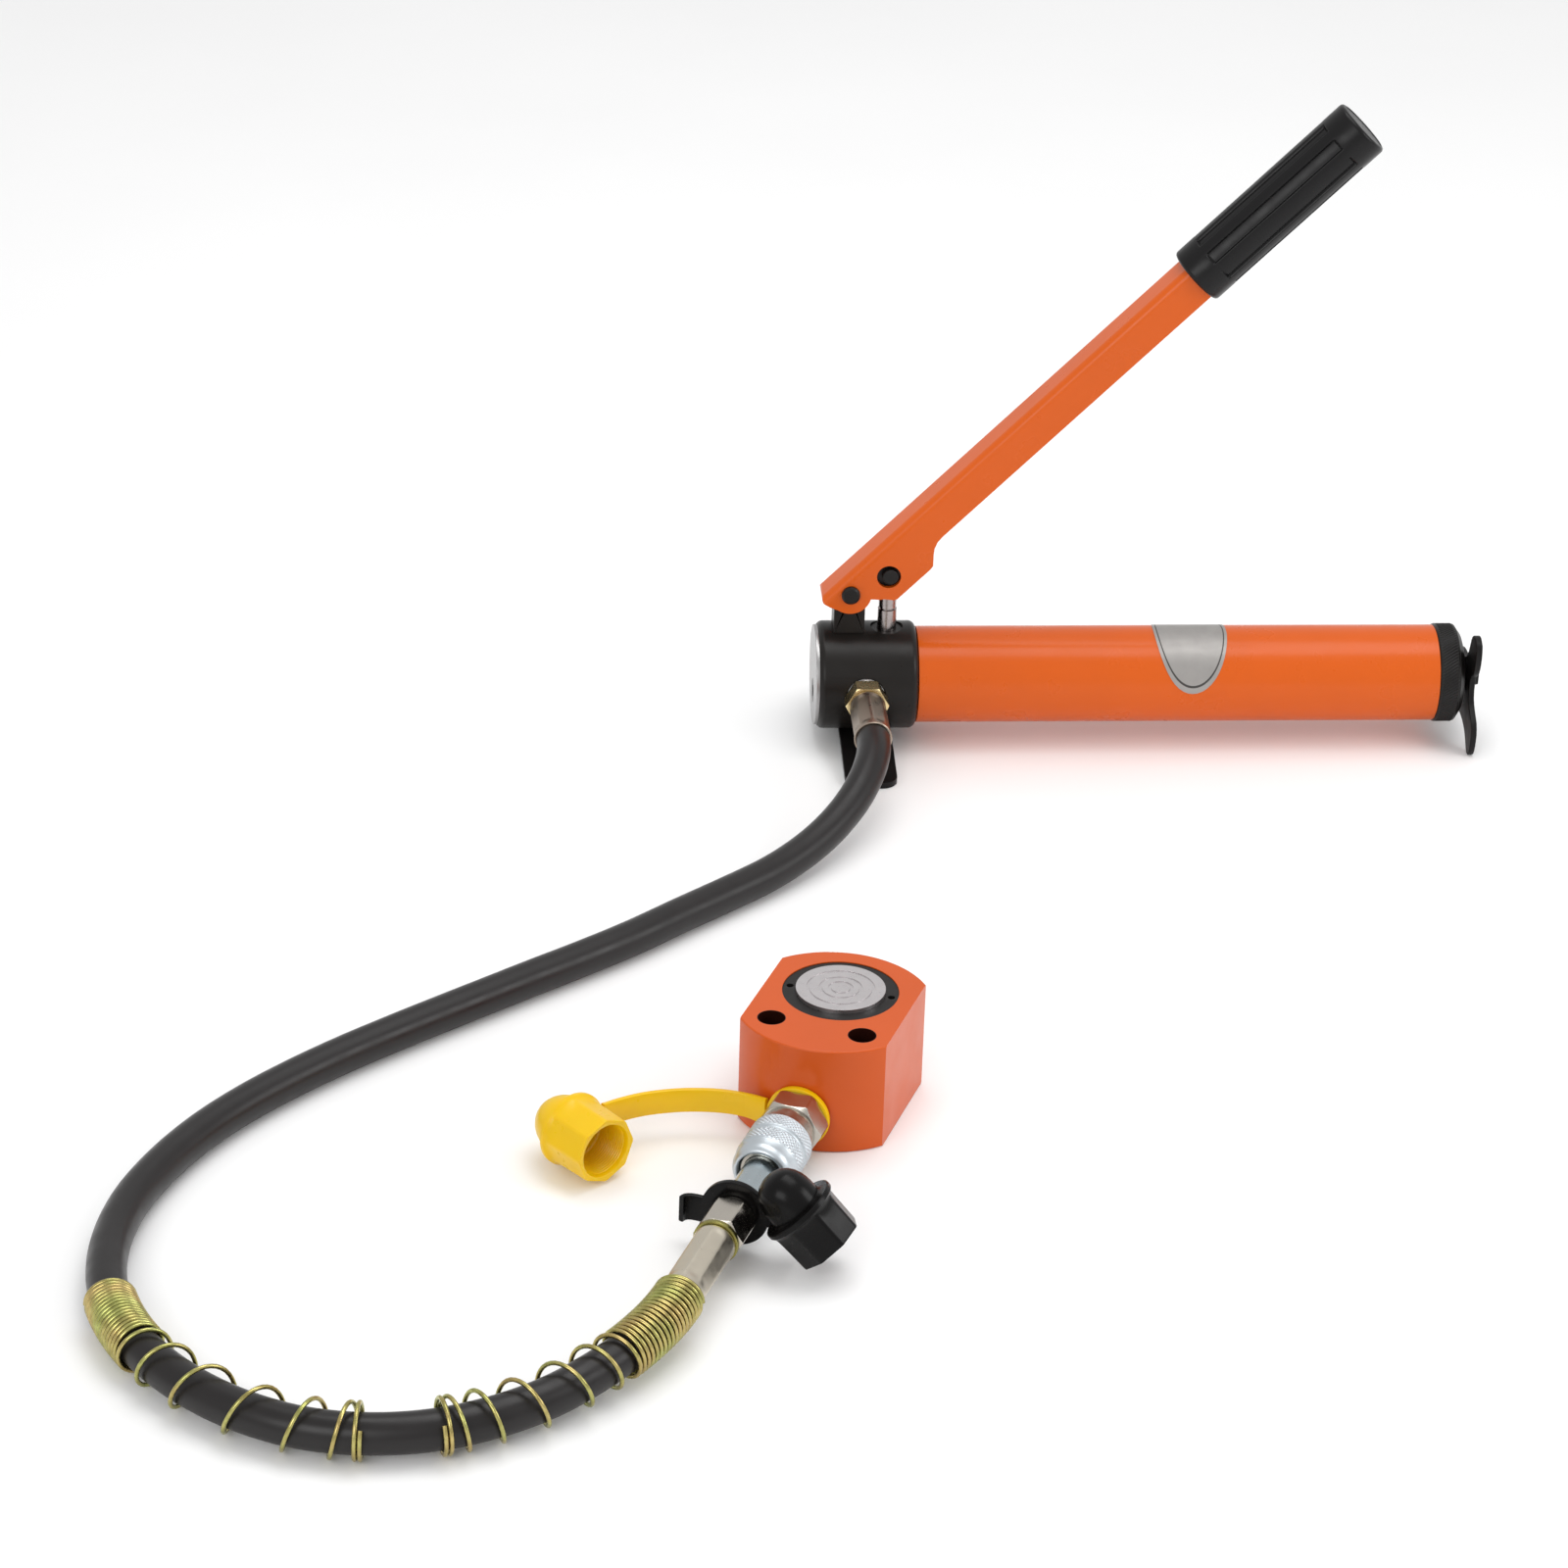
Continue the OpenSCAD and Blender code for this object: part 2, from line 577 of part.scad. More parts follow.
// ---- coupler ----
module male_coupler() {
  color(zinc) at_port() difference() {
    rod_z(nipple_t, adaptor_t, nipple_r);
    rod_z(nipple_t - 1, adaptor_t + 1, 3.5);
    translate([0, 0, 88]) difference() {
      rod_z(-1.5, 1.5, nipple_r + 1);
      rod_z(-2, 2, nipple_r - 0.4);
    }
  }
}
// cup with a flange and a dome, its mouth towards +Z and its flange at z = 0
module cap_cup(dome, depth) {
  difference() {
    union() {
      rod_z(-2.4, 0, 16.6);
      cylinder(h = depth, r1 = 15.6, r2 = 15.1, $fn = 8);
      rotate_extrude() polygon(dome);
    }
    rod_z(4, depth + 1, 11.8);
  }
}
module male_dust_cap() {
  flange = [29.6, -129.8, 26.8];
  dome = [[0, 0], [11.9, 0], [11.8, -8.5], [11, -12.6], [8.8, -16.5], [5, -19.3], [0, -20.3]];
  color(rubber) at_ram() {
    translate([0, 0, port_h]) rotate([90, 0, 0]) {
      pipe_z(tether_t, adaptor_t, 14.8, nipple_r + 0.1);
    }
    translate([-23.5, -adaptor_t, port_h - 7.5]) cube([11, 3, 12.5]);
    translate([-23.5, -adaptor_t - 4, port_h - 7.5]) cube([2.6, 6, 12.5]);
    translate([11.5, -adaptor_t, port_h - 5]) cube([8, 3, 10]);
    translate(flange) rotate([0, 0, 5.7]) rotate([0, 136.1, 0]) cap_cup(dome, 18.5);
  }
}
module coupler_body() {
  color(steel) at_port() difference() {
    union() {
      rod_z(port_face - 10, hex_t, 6.9);
      intersection() {
        hex_z(hex_t, rings_t, 25.4);
        translate([0, 0, hex_t]) round_drum(12, 14.7, 1.4);
      }
      rod_z(rings_t - 1, 72, 11.8);
      rod_z(71, socket_t, 9.6);
    }
    rod_z(0, 80, 4);
    rod_z(nipple_t - 0.5, socket_t + 1, nipple_r + 0.05);
    rod_z(68, 70.2, 9.5);
    for (k = [0:5]) rotate([0, 0, 60 * k]) translate([0, 0, 88]) rotate([0, 90, 0]) cylinder(h = 12, r = 1.25);
  }
}
module coupler_seal() { color(rubber) at_port() translate([0, 0, 69.1]) pipe_z(-1, 1, 9.45, nipple_r + 0.02); }
module lock_balls() {
  color(steel) at_port() for (k = [0:5]) rotate([0, 0, 60 * k]) translate([8.75, 0, 88]) sphere(r = 1.15);
}
module coupler_sleeve() {
  color(steel) at_port() translate([0, 0, sleeve_t]) rotate_extrude() polygon([
    [12.1, 0], [13.4, 0], [14, 0.8], [14, 8], [13, 9], [13, 10.4], [14, 11.4], [14, 19], [13.2, 20],
    [13.2, 24], [12.2, 27], [10.9, 28], [10.1, 28], [10.1, 9.5], [12.1, 9.5]]);
}
// the moulded strap from the coupler's ring to the yellow cap
strap_line = [[-142, -197], [-150, -191], [-162, -187], [-177.5, -186], [-193, -188.5],
  [-205, -193.5], [-213, -200]];
module female_dust_cap() {
  dome = [[0, 0], [13.2, 0], [13, -4], [12.2, -8.5], [10.6, -12.5], [8, -15.8], [4.4, -18.2],
    [0, -19]];
  steps = 4 * (len(strap_line) - 1);
  mid = [for (i = [0:steps]) cubic(strap_line, i / 4)];
  dir = [for (i = [0:steps]) unit(mid[min(i + 1, steps)] - mid[max(i - 1, 0)])];
  left = [for (i = [0:steps]) mid[i] + 1.1 * [-dir[i][1], dir[i][0]]];
  right = [for (i = [steps:-1:0]) mid[i] - 1.1 * [-dir[i][1], dir[i][0]]];
  color(yellow) {
    at_port() pipe_z(port_face + 0.3, hex_t, 14, 7.2);
    translate([0, 0, port_h - 7.3]) linear_extrude(11.4) polygon(concat(left, right));
    translate([-225.6, -210.5, 16.6]) rotate([0, 0, -52]) rotate([0, 90, 0]) cap_cup(dome, 22);
  }
}

// ---- ram ----
module cylinder_body() {
  color(orange) at_ram() difference() {
    intersection() {
      round_drum(body_h, body_r, 0.8);
      translate([-body_w / 2, -60, -1]) cube([body_w, 120, body_h + 2]);
    }
    translate([0, ram_y, 0]) {
      rod_z(8, body_h - ring_h + 0.1, bore_r);
      rod_z(body_h - ring_h, body_h + 1, ring_r);
      rod_z(-1, 9, 12.1);
    }
    for (x = [-hole_x, hole_x]) translate([x, hole_y, -1]) cylinder(h = body_h + 2, r = hole_r);
    translate([0, 0, port_h]) rotate([90, 0, 0]) rod_z(port_face - 14, 60, 7);
    translate([0, 0, port_h]) rotate([90, 0, 0]) rod_z(8, 60, 2.5);
  }
}
module base_plug() { color(steel) at_ram() translate([0, ram_y, 0]) rod_z(1, 7.9, 12); }
module stop_ring() {
  color(black) at_ram() translate([0, ram_y, 0]) difference() {
    pipe_z(body_h - ring_h + 0.1, body_h - 0.4, ring_r - 0.1, ram_r + 0.1);
    for (a = [0, 180]) rotate([0, 0, 8 + a]) translate([22.4, 0, body_h - 3]) cylinder(h = 6, r = 1.6);
  }
}
module ram() {
  color(steel) at_ram() translate([0, ram_y, 0]) difference() {
    union() {
      rod_z(8.3, body_h + ram_stands, ram_r);
      rod_z(8.3, 18, bore_r - 0.2);
      rod_z(22, 26, bore_r - 0.2);
    }
    rod_z(8, 34, 9);
    for (r = [5.5, 9.5, 15]) translate([0, 0, body_h + ram_stands - 0.4]) pipe_z(0, 2, r, r - 1.3);
  }
}
module ram_seal() {
  color(rubber) at_ram() translate([0, ram_y, 18.2]) pipe_z(0, 3.6, bore_r - 0.05, ram_r + 0.05);
}
module return_spring() { color(steel) at_ram() translate([0, ram_y, 0]) pipe_z(8.4, 33.6, 7.6, 5.6); }

pump_head();
face_plate();
relief_plug();
delivery_spring();
delivery_ball();
suction_ball();
suction_seat();
fulcrum_lug();
gland_nut();
piston();
piston_seal();
piston_pin();
handle();
handle_grip();
pivot_pin();
pivot_clip();
reservoir_tube();
tube_seals();
oil_bladder();
tie_rod();
rear_cap();
foot_spacer();
rear_foot();
rear_foot_nut();
front_foot();
front_foot_screws();
release_valve();
release_ball();
label_plate();
outlet_washer();
outlet_nut();
hose_ferrule_pump();
hose();
spring_guard_pump();
spring_guard_ram();
hose_ferrule_ram();
hose_adaptor();
male_coupler();
male_dust_cap();
coupler_body();
coupler_seal();
lock_balls();
coupler_sleeve();
female_dust_cap();
cylinder_body();
stop_ring();
ram();
ram_seal();
return_spring();
base_plug();
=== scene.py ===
"""Looks of a hydraulic hand pump with its hose, quick coupler and low-height ram.

Lengths are in metres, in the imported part's own frame: the floor is z = 0, the pump lies along X, and the
ram's coupler points towards the camera. Each sub-part has its own section, after the camera, the hose and
the materials.
"""

import math

import bpy
import numpy as np
from mathutils import Matrix, Vector


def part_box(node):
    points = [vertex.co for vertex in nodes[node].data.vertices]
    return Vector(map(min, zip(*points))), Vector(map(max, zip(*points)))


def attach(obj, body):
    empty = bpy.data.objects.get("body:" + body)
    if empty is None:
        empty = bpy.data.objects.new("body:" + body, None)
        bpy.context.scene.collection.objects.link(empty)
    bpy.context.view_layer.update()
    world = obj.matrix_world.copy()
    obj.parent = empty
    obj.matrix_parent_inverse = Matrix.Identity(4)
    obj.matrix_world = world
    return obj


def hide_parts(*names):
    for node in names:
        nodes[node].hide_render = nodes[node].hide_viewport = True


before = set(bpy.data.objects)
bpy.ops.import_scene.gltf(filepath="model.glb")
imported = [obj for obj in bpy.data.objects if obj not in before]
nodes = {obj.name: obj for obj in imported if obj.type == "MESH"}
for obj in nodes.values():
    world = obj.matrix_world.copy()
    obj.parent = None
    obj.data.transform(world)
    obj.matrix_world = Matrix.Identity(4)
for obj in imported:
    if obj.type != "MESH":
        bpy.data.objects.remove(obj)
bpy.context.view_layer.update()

MM = 0.001


# ---------------------------------------------------------------- camera, floor and light

CAMERA_PLACE = (-0.266, -1.8507, 1.0359)
CAMERA_DEGREES = (-4.384, 27.44, 1.737)     # yaw, pitch down and roll
LENS = 103.95                               # mm, on a sensor 36 mm wide


def make_camera():
    """Long lens from the front left of the pump, a little above it."""
    yaw, pitch, roll = (math.radians(a) for a in CAMERA_DEGREES)
    level = Vector((-math.sin(yaw), math.cos(yaw), 0))
    right = Vector((math.cos(yaw), math.sin(yaw), 0))
    forward = level * math.cos(pitch) - Vector((0, 0, 1)) * math.sin(pitch)
    up = right.cross(forward)
    x = right * math.cos(roll) + up * math.sin(roll)
    y = up * math.cos(roll) - right * math.sin(roll)
    data = bpy.data.cameras.new("camera")
    data.lens = LENS
    data.sensor_width = 36
    data.clip_end = 20
    camera = bpy.data.objects.new("camera", data)
    place = Matrix((x, y, -forward)).transposed().to_4x4()
    place.translation = Vector(CAMERA_PLACE)
    camera.matrix_world = place
    bpy.context.collection.objects.link(camera)
    bpy.context.scene.camera = camera


def make_light(name, place, target, size, watts, colour=(1, 1, 1)):
    data = bpy.data.lights.new(name, "AREA")
    data.shape = "RECTANGLE"
    data.size, data.size_y = size
    data.energy = watts
    data.color = colour
    lamp = bpy.data.objects.new(name, data)
    lamp.location = place
    lamp.rotation_euler = (Vector(target) - Vector(place)).to_track_quat("-Z", "Y").to_euler()
    bpy.context.collection.objects.link(lamp)


def make_studio():
    world = bpy.data.worlds.new("studio")
    bpy.context.scene.world = world
    world.use_nodes = True
    sky = world.node_tree.nodes["Background"]
    sky.inputs["Color"].default_value = (1, 1, 1, 1)
    sky.inputs["Strength"].default_value = 0.75
    make_light("top_softbox", (0.15, 0.2, 1.9), (-0.05, 0, 0.05), (1.6, 1.0), 14)
    make_light("front_softbox", (-0.9, -1.5, 0.9), (-0.1, -0.1, 0.05), (1.0, 0.7), 7)
    make_light("right_softbox", (1.5, -0.5, 0.9), (-0.05, -0.1, 0.05), (0.8, 0.8), 7.5)
    bpy.context.scene.view_settings.view_transform = "Standard"


make_camera()
make_studio()


# ---------------------------------------------------------------- mesh tools

def add_mesh(name, verts, faces, body, sharp=32.0):
    """A new piece from points and faces, smooth except at its sharp edges, that moves with a body."""
    mesh = bpy.data.meshes.new(name)
    mesh.from_pydata([tuple(v) for v in verts], [], [tuple(f) for f in faces])
    mesh.polygons.foreach_set("use_smooth", [True] * len(mesh.polygons))
    mesh.set_sharp_from_angle(angle=math.radians(sharp))
    mesh.update()
    piece = bpy.data.objects.new(name, mesh)
    bpy.context.collection.objects.link(piece)
    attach(piece, body)
    return piece


def skin(rings, loop=False, caps=True):
    """Points and faces of a surface through rings with the same number of points each."""
    rings = np.asarray(rings, dtype=float)
    count, n = rings.shape[:2]
    verts = rings.reshape(-1, 3)
    faces = []
    for i in range(count if loop else count - 1):
        a, b = i * n, (i + 1) % count * n
        for k in range(n):
            m = (k + 1) % n
            faces.append((a + k, a + m, b + m, b + k))
    if caps and not loop:
        faces.append(tuple(range(n - 1, -1, -1)))
        faces.append(tuple((count - 1) * n + k for k in range(n)))
    return verts, faces


def placed(verts, place):
    m = np.array(place)
    return np.asarray(verts) @ m[:3, :3].T + m[:3, 3]


def lathe(name, profile, place, body, steps=96, swell=None, sharp=32.0):
    """A turned piece from closed (radius, height) points; swell(angle, radius, height) alters the radius."""
    angles = np.linspace(0, 2 * math.pi, steps, endpoint=False)
    rings = []
    for a in angles:
        ring = []
        for r, z in profile:
            q = swell(a, r, z) if swell else r
            ring.append((q * math.cos(a), q * math.sin(a), z))
        rings.append(ring)
    verts, faces = skin(rings, loop=True)
    return add_mesh(name, placed(verts, place), faces, body, sharp)


def rounded(points, radius=0.4 * MM, steps=3):
    """A closed profile with its corners rounded."""
    out = []
    n = len(points)
    for i, p in enumerate(points):
        p = np.array(p, dtype=float)
        a = np.array(points[i - 1], dtype=float) - p
        b = np.array(points[(i + 1) % n], dtype=float) - p
        la, lb = np.linalg.norm(a), np.linalg.norm(b)
        cut = min(radius, 0.45 * la, 0.45 * lb)
        if cut < 1e-6 or abs(np.dot(a, b) / (la * lb)) > 0.995:
            out.append(tuple(p))
            continue
        start, end = p + a / la * cut, p + b / lb * cut
        for k in range(steps + 1):
            t = k / steps
            out.append(tuple((1 - t) ** 2 * start + 2 * t * (1 - t) * p + t * t * end))
    return out


def tube_along(points, radius, sides=32, section=None):
    """Rings round a path, by parallel transport. section gives (side, up) points instead of a circle."""
    pts = np.asarray(points, dtype=float)
    tangents = np.gradient(pts, axis=0)
    tangents /= np.linalg.norm(tangents, axis=1)[:, None]
    up = np.array((0, 0, 1.0))
    side = np.cross(tangents[0], up)
    side /= np.linalg.norm(side)
    if section is None:
        a = np.linspace(0, 2 * math.pi, sides, endpoint=False)
        section = np.stack([np.cos(a) * radius, np.sin(a) * radius], axis=1)
    rings = []
    for p, t in zip(pts, tangents):
        side = side - t * np.dot(side, t)
        side /= np.linalg.norm(side)
        rise = np.cross(side, t)
        rings.append(p + section[:, :1] * side + section[:, 1:] * rise)
    return np.array(rings)


def smooth(t):
    """Eases a share from 0 to 1."""
    return t * t * (3 - 2 * t)


def resampled(points, step):
    """The same path with evenly spaced points."""
    pts = np.asarray(points, dtype=float)
    run = np.concatenate([[0], np.cumsum(np.linalg.norm(np.diff(pts, axis=0), axis=1))])
    s = np.linspace(0, run[-1], max(2, int(round(run[-1] / step)) + 1))
    return np.stack([np.interp(s, run, pts[:, k]) for k in range(3)], axis=1)


def spline(points, per_span=12):
    """A Catmull-Rom curve through the points."""
    p = np.asarray(points, dtype=float)
    last = len(p) - 1
    out = []
    for i in range(last):
        a, b, c, d = p[max(i - 1, 0)], p[i], p[i + 1], p[min(i + 2, last)]
        for t in np.linspace(0, 1, per_span, endpoint=False):
            out.append(0.5 * (2 * b + (c - a) * t + (2 * a - 5 * b + 4 * c - d) * t * t
                              + (3 * b - a - 3 * c + d) * t ** 3))
    out.append(p[-1])
    return np.array(out)


# ---------------------------------------------------------------- places

PUMP = Vector((-0.070, 0.195, 0.033))          # centre of the pump head
RAM = Vector((-0.112, -0.161, 0))              # centre of the ram's body, on the floor
RAM_PLACE = Matrix.Translation(RAM) @ Matrix.Rotation(math.radians(-22.5), 4, "Z")
PORT_PLACE = RAM_PLACE @ Matrix.Translation((0, 0, 0.0175)) @ Matrix.Rotation(math.radians(90), 4, "X")
OUTLET_PLACE = (Matrix.Translation(PUMP + Vector((-0.0015, 0, 0)))
                @ Matrix.Rotation(math.radians(90), 4, "X"))
AXIS_PLACE = Matrix.Translation(PUMP) @ Matrix.Rotation(math.radians(90), 4, "Y")
PIVOT = Vector((-0.0795, 0.195, 0.082))
LEVER_PLACE = Matrix.Translation(PIVOT) @ Matrix.Rotation(math.radians(-45.5), 4, "Y")
YELLOW_CAP_PLACE = (Matrix.Translation((-0.2256, -0.2105, 0.0166))
                    @ Matrix.Rotation(math.radians(-52), 4, "Z")
                    @ Matrix.Rotation(math.radians(90), 4, "Y"))
BLACK_CAP_PLACE = (RAM_PLACE @ Matrix.Translation((0.0296, -0.1298, 0.0268))
                   @ Matrix.Rotation(math.radians(5.7), 4, "Z")
                   @ Matrix.Rotation(math.radians(136.1), 4, "Y"))


# ---------------------------------------------------------------- the hose and its spring guards

LAY = 8.7
HOSE_ROUTE = [
    (-71.5, 122, 33), (-72.1, 111.5, 32.1), (-74.3, 101, 29.8), (-78.1, 90.5, 26.5),
    (-83.6, 79.8, 22.5), (-91, 68.6, 18.4), (-100.4, 56.6, 14.6), (-112.4, 43.4, 11.5),
    (-128, 28, 9.4), (-148.6, 10, LAY), (-171.3, -10, LAY),
    (-194.5, -31, LAY), (-217.5, -49.5, LAY), (-240, -66.5, LAY), (-262, -83.5, LAY),
    (-284, -100.5, LAY), (-305.5, -117.5, LAY), (-326.5, -135, LAY),
    (-346.5, -153.5, LAY), (-365.5, -173.5, LAY), (-383, -196, LAY),
    (-398, -221.5, LAY), (-409.5, -249, LAY), (-415.5, -278, 9.2), (-416, -307, 10.4),
    (-411, -334, 11.2), (-399.5, -360, 11.3), (-382, -383, 11), (-360, -402, 10.9),
    (-335, -415, 10.9), (-308.8, -420, 10.9), (-283, -418, 10.9), (-259.2, -410, 11.1),
    (-239, -398.6, 11.5), (-222.3, -385.6, 12.8), (-208.9, -372.8, 14.3),
    (-198.5, -360.8, 15.9), (-190.8, -349.2, 17), (-185.5, -338.4, 17.5),
]
HOSE_R = 8.35 * MM
PER_SPAN = 24
hose_fine = spline(np.array(HOSE_ROUTE) * MM, PER_SPAN)
hose_run = np.concatenate([[0], np.cumsum(np.linalg.norm(np.diff(hose_fine, axis=0), axis=1))])


def hose_at(s):
    """The hose's centre at a distance along it."""
    return np.array([np.interp(s, hose_run, hose_fine[:, k]) for k in range(3)])


def hose_distance(span):
    """The distance along the hose of a place counted in the route's points."""
    return float(np.interp(span * PER_SPAN, range(len(hose_run)), hose_run))


def make_hose():
    path = resampled(hose_fine, 3 * MM)
    verts, faces = skin(tube_along(path, HOSE_R, 36))
    piece = add_mesh("rubber_hose", verts, faces, "base")
    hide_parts("hose")
    return piece, path


def make_guard(name, start, joint, end, closed_turns, open_turns, node):
    """A wound wire: close turns from start to joint, open turns on to end, and two close ones to finish."""
    wire, per_turn = 0.95 * MM, 30
    a, b, c = hose_distance(start), hose_distance(joint), hose_distance(end)
    way = 1 if c > a else -1
    length = abs(c - b)
    total = closed_turns + open_turns + 1.6
    points = []
    for i in range(int(total * per_turn) + 1):
        turn = i / per_turn
        if turn <= closed_turns:
            s, opening = a + (b - a) * turn / closed_turns, 0.0
        elif turn <= closed_turns + open_turns:
            f = (turn - closed_turns) / open_turns
            s = b + way * (length - 2.4 * MM) * (f - math.sin(2 * math.pi * f) / (2 * math.pi) * 0.35)
            opening = min(1.0, 3 * f)
        else:
            s = b + way * (length - 2.4 * MM + 1.95 * MM * (turn - closed_turns - open_turns))
            opening = 1.0
        centre = hose_at(s) + np.array((0, 0, 1.3 * MM * opening))
        ahead = hose_at(s + 1 * MM) - hose_at(s - 1 * MM)
        ahead /= np.linalg.norm(ahead)
        side = np.cross(ahead, (0, 0, 1))
        side /= np.linalg.norm(side)
        rise = np.cross(side, ahead)
        r = (10.1 + 0.9 * opening) * MM
        angle = 2 * math.pi * turn
        points.append(centre + r * (math.cos(angle) * side + math.sin(angle) * rise))
    verts, faces = skin(tube_along(points, wire, 10))
    piece = add_mesh(name, verts, faces, "base", 60)
    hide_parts(node)
    return piece


hose, hose_path = make_hose()
guard_pump = make_guard("guard_at_bend", 24.75, 26.05, 29.9, 17, 5.5, "spring_guard_pump")
guard_ram = make_guard("guard_at_ram", 37.9, 34.9, 31.1, 18, 5.5, "spring_guard_ram")


# ---------------------------------------------------------------- materials

def linear(red, green, blue):
    """A colour given in the usual 0 to 255 steps, as shaders need it."""
    return tuple(((c / 255 + 0.055) / 1.055) ** 2.4 if c > 10 else c / 255 / 12.92
                 for c in (red, green, blue)) + (1,)


def shifted(colour, factor):
    return tuple(min(1, c * factor) for c in colour[:3]) + (1,)


class Finish:
    """A procedural material: uneven base colour and gloss, fine bump and, if asked, marks of turning."""

    def __init__(self, name, colour, roughness, metallic=0.0, coat=0.0, specular=0.5):
        self.material = bpy.data.materials.new(name)
        self.material.use_nodes = True
        self.tree = self.material.node_tree
        self.shader = self.tree.nodes["Principled BSDF"]
        self.colour = colour
        self.roughness = roughness
        self.shader.inputs["Metallic"].default_value = metallic
        self.shader.inputs["Specular IOR Level"].default_value = specular
        if coat:
            self.shader.inputs["Coat Weight"].default_value = coat
            self.shader.inputs["Coat Roughness"].default_value = 0.12
        self.shader.inputs["Base Color"].default_value = colour
        self.coordinates = self.node("ShaderNodeTexCoord").outputs["Object"]
        self.height = None

    def node(self, kind, **inputs):
        made = self.tree.nodes.new(kind)
        for key, value in inputs.items():
            made.inputs[key.replace("_", " ")].default_value = value
        return made

    def link(self, a, b):
        self.tree.links.new(a, b)

    def noise(self, scale, detail=3.0, vector=None):
        made = self.node("ShaderNodeTexNoise", Scale=scale, Detail=detail)
        self.link(vector or self.coordinates, made.inputs["Vector"])
        return made.outputs["Fac"]

    def ranged(self, value, low, high, start=0.3, stop=0.7):
        made = self.node("ShaderNodeMapRange")
        self.link(value, made.inputs["Value"])
        for key, number in (("From Min", start), ("From Max", stop), ("To Min", low), ("To Max", high)):
            made.inputs[key].default_value = number
        return made.outputs["Result"]

    def mixed(self, fac, a, b):
        made = self.tree.nodes.new("ShaderNodeMix")
        made.data_type = "RGBA"
        self.link(fac, made.inputs["Factor"])
        for socket, value in ((made.inputs[6], a), (made.inputs[7], b)):
            if isinstance(value, bpy.types.NodeSocket):
                self.link(value, socket)
            else:
                socket.default_value = value
        return made.outputs[2]

    def mottle(self, amount=0.1, scale=35):
        """Cloudy light and dark patches."""
        fac = self.ranged(self.noise(scale, 5), 0, 1)
        out = self.mixed(fac, shifted(self.colour, 1 - amount), shifted(self.colour, 1 + amount))
        self.paint = out
        self.link(out, self.shader.inputs["Base Color"])
        return self

    def gloss(self, spread=0.08, scale=90):
        """Uneven roughness."""
        out = self.ranged(self.noise(scale, 4), self.roughness - spread, self.roughness + spread)
        self.link(out, self.shader.inputs["Roughness"])
        return self

    def relief(self, source, strength, depth):
        made = self.node("ShaderNodeBump", Strength=strength, Distance=depth)
        self.link(source, made.inputs["Height"])
        if self.height:
            self.link(self.height, made.inputs["Normal"])
        self.height = made.outputs["Normal"]
        self.link(self.height, self.shader.inputs["Normal"])
        return self

    def grain(self, scale=1400, strength=0.25, depth=0.05 * MM, detail=3):
        return self.relief(self.noise(scale, detail), strength, depth)

    def turned(self, place, pitch, kind="BANDS", strength=0.3, depth=0.03 * MM, distortion=0.3):
        """Fine marks of a lathe about a place's Z axis: rings on its end faces, or bands along its side."""
        mapping = self.node("ShaderNodeMapping")
        mapping.vector_type = "TEXTURE"
        mapping.inputs["Location"].default_value = place.to_translation()
        mapping.inputs["Rotation"].default_value = place.to_euler()
        self.link(self.coordinates, mapping.inputs["Vector"])
        wave = self.node("ShaderNodeTexWave", Scale=2 * math.pi / 20 / pitch, Distortion=distortion,
                         Detail=1.0)
        wave.wave_type = kind
        wave.bands_direction = "Z"
        wave.rings_direction = "Z"
        self.link(mapping.outputs["Vector"], wave.inputs["Vector"])
        return self.relief(wave.outputs["Fac"], strength, depth)


M = {}


def finish(name, *args, **kwargs):
    made = Finish(name, *args, **kwargs)
    M[name] = made.material
    return made


finish("orange_enamel", linear(208, 88, 6), 0.30, coat=0.1, specular=0.28).mottle(0.03, 18).gloss(0.04, 60)
ram_paint = finish("orange_ram", linear(200, 82, 18), 0.33, coat=0.1, specular=0.28)
ram_paint.mottle(0.03, 25).gloss(0.04, 60)
finish("black_enamel", linear(27, 24, 22), 0.32, specular=0.22).mottle(0.06, 40).gloss(0.05).grain(
    1500, 0.05)
finish("black_oxide", linear(22, 20, 19), 0.36, specular=0.25).mottle(0.06, 60).gloss(0.05, 200).grain(
    1800, 0.05)
finish("black_foot", linear(17, 15, 15), 0.42, specular=0.2).mottle(0.06, 50).gloss(0.05).grain(1100, 0.06)
finish("machined", linear(190, 188, 186), 0.28, 1.0).mottle(0.04, 90).gloss(0.05, 300).grain(2500, 0.04)
finish("face_disc", linear(168, 167, 167), 0.34, 1.0).mottle(0.03, 90).gloss(0.05, 300).turned(
    AXIS_PLACE, 0.35 * MM, "RINGS", 0.12)
finish("piston_steel", linear(168, 160, 158), 0.24, 1.0).mottle(0.05, 90).gloss(0.05, 300).turned(
    Matrix.Translation((-0.060, 0.195, 0)), 0.3 * MM, "BANDS", 0.08)
RAM_TOP = RAM_PLACE @ Matrix.Translation((0, 0.0095, 0))
finish("ram_steel", linear(208, 204, 205), 0.30, 1.0).mottle(0.03, 60).gloss(0.05, 250).turned(
    RAM_TOP, 0.4 * MM, "RINGS", 0.03)
finish("nickel", linear(190, 184, 174), 0.22, 1.0).mottle(0.04, 70).gloss(0.04, 300).grain(2500, 0.03)
finish("blue_zinc", linear(196, 203, 208), 0.38, 1.0).mottle(0.04, 80).gloss(0.05, 350).grain(2400, 0.04)
finish("nipple_zinc", linear(176, 186, 190), 0.24, 1.0).mottle(0.04, 80).gloss(0.05, 350).grain(2400, 0.03)
finish("pale_ferrule", linear(204, 196, 180), 0.32, 1.0).mottle(0.04, 50).gloss(0.05, 250).grain(2400, 0.03)
finish("brown_ferrule", linear(164, 150, 136), 0.32, 1.0).mottle(0.05, 50).gloss(0.05, 250).grain(
    2400, 0.03)
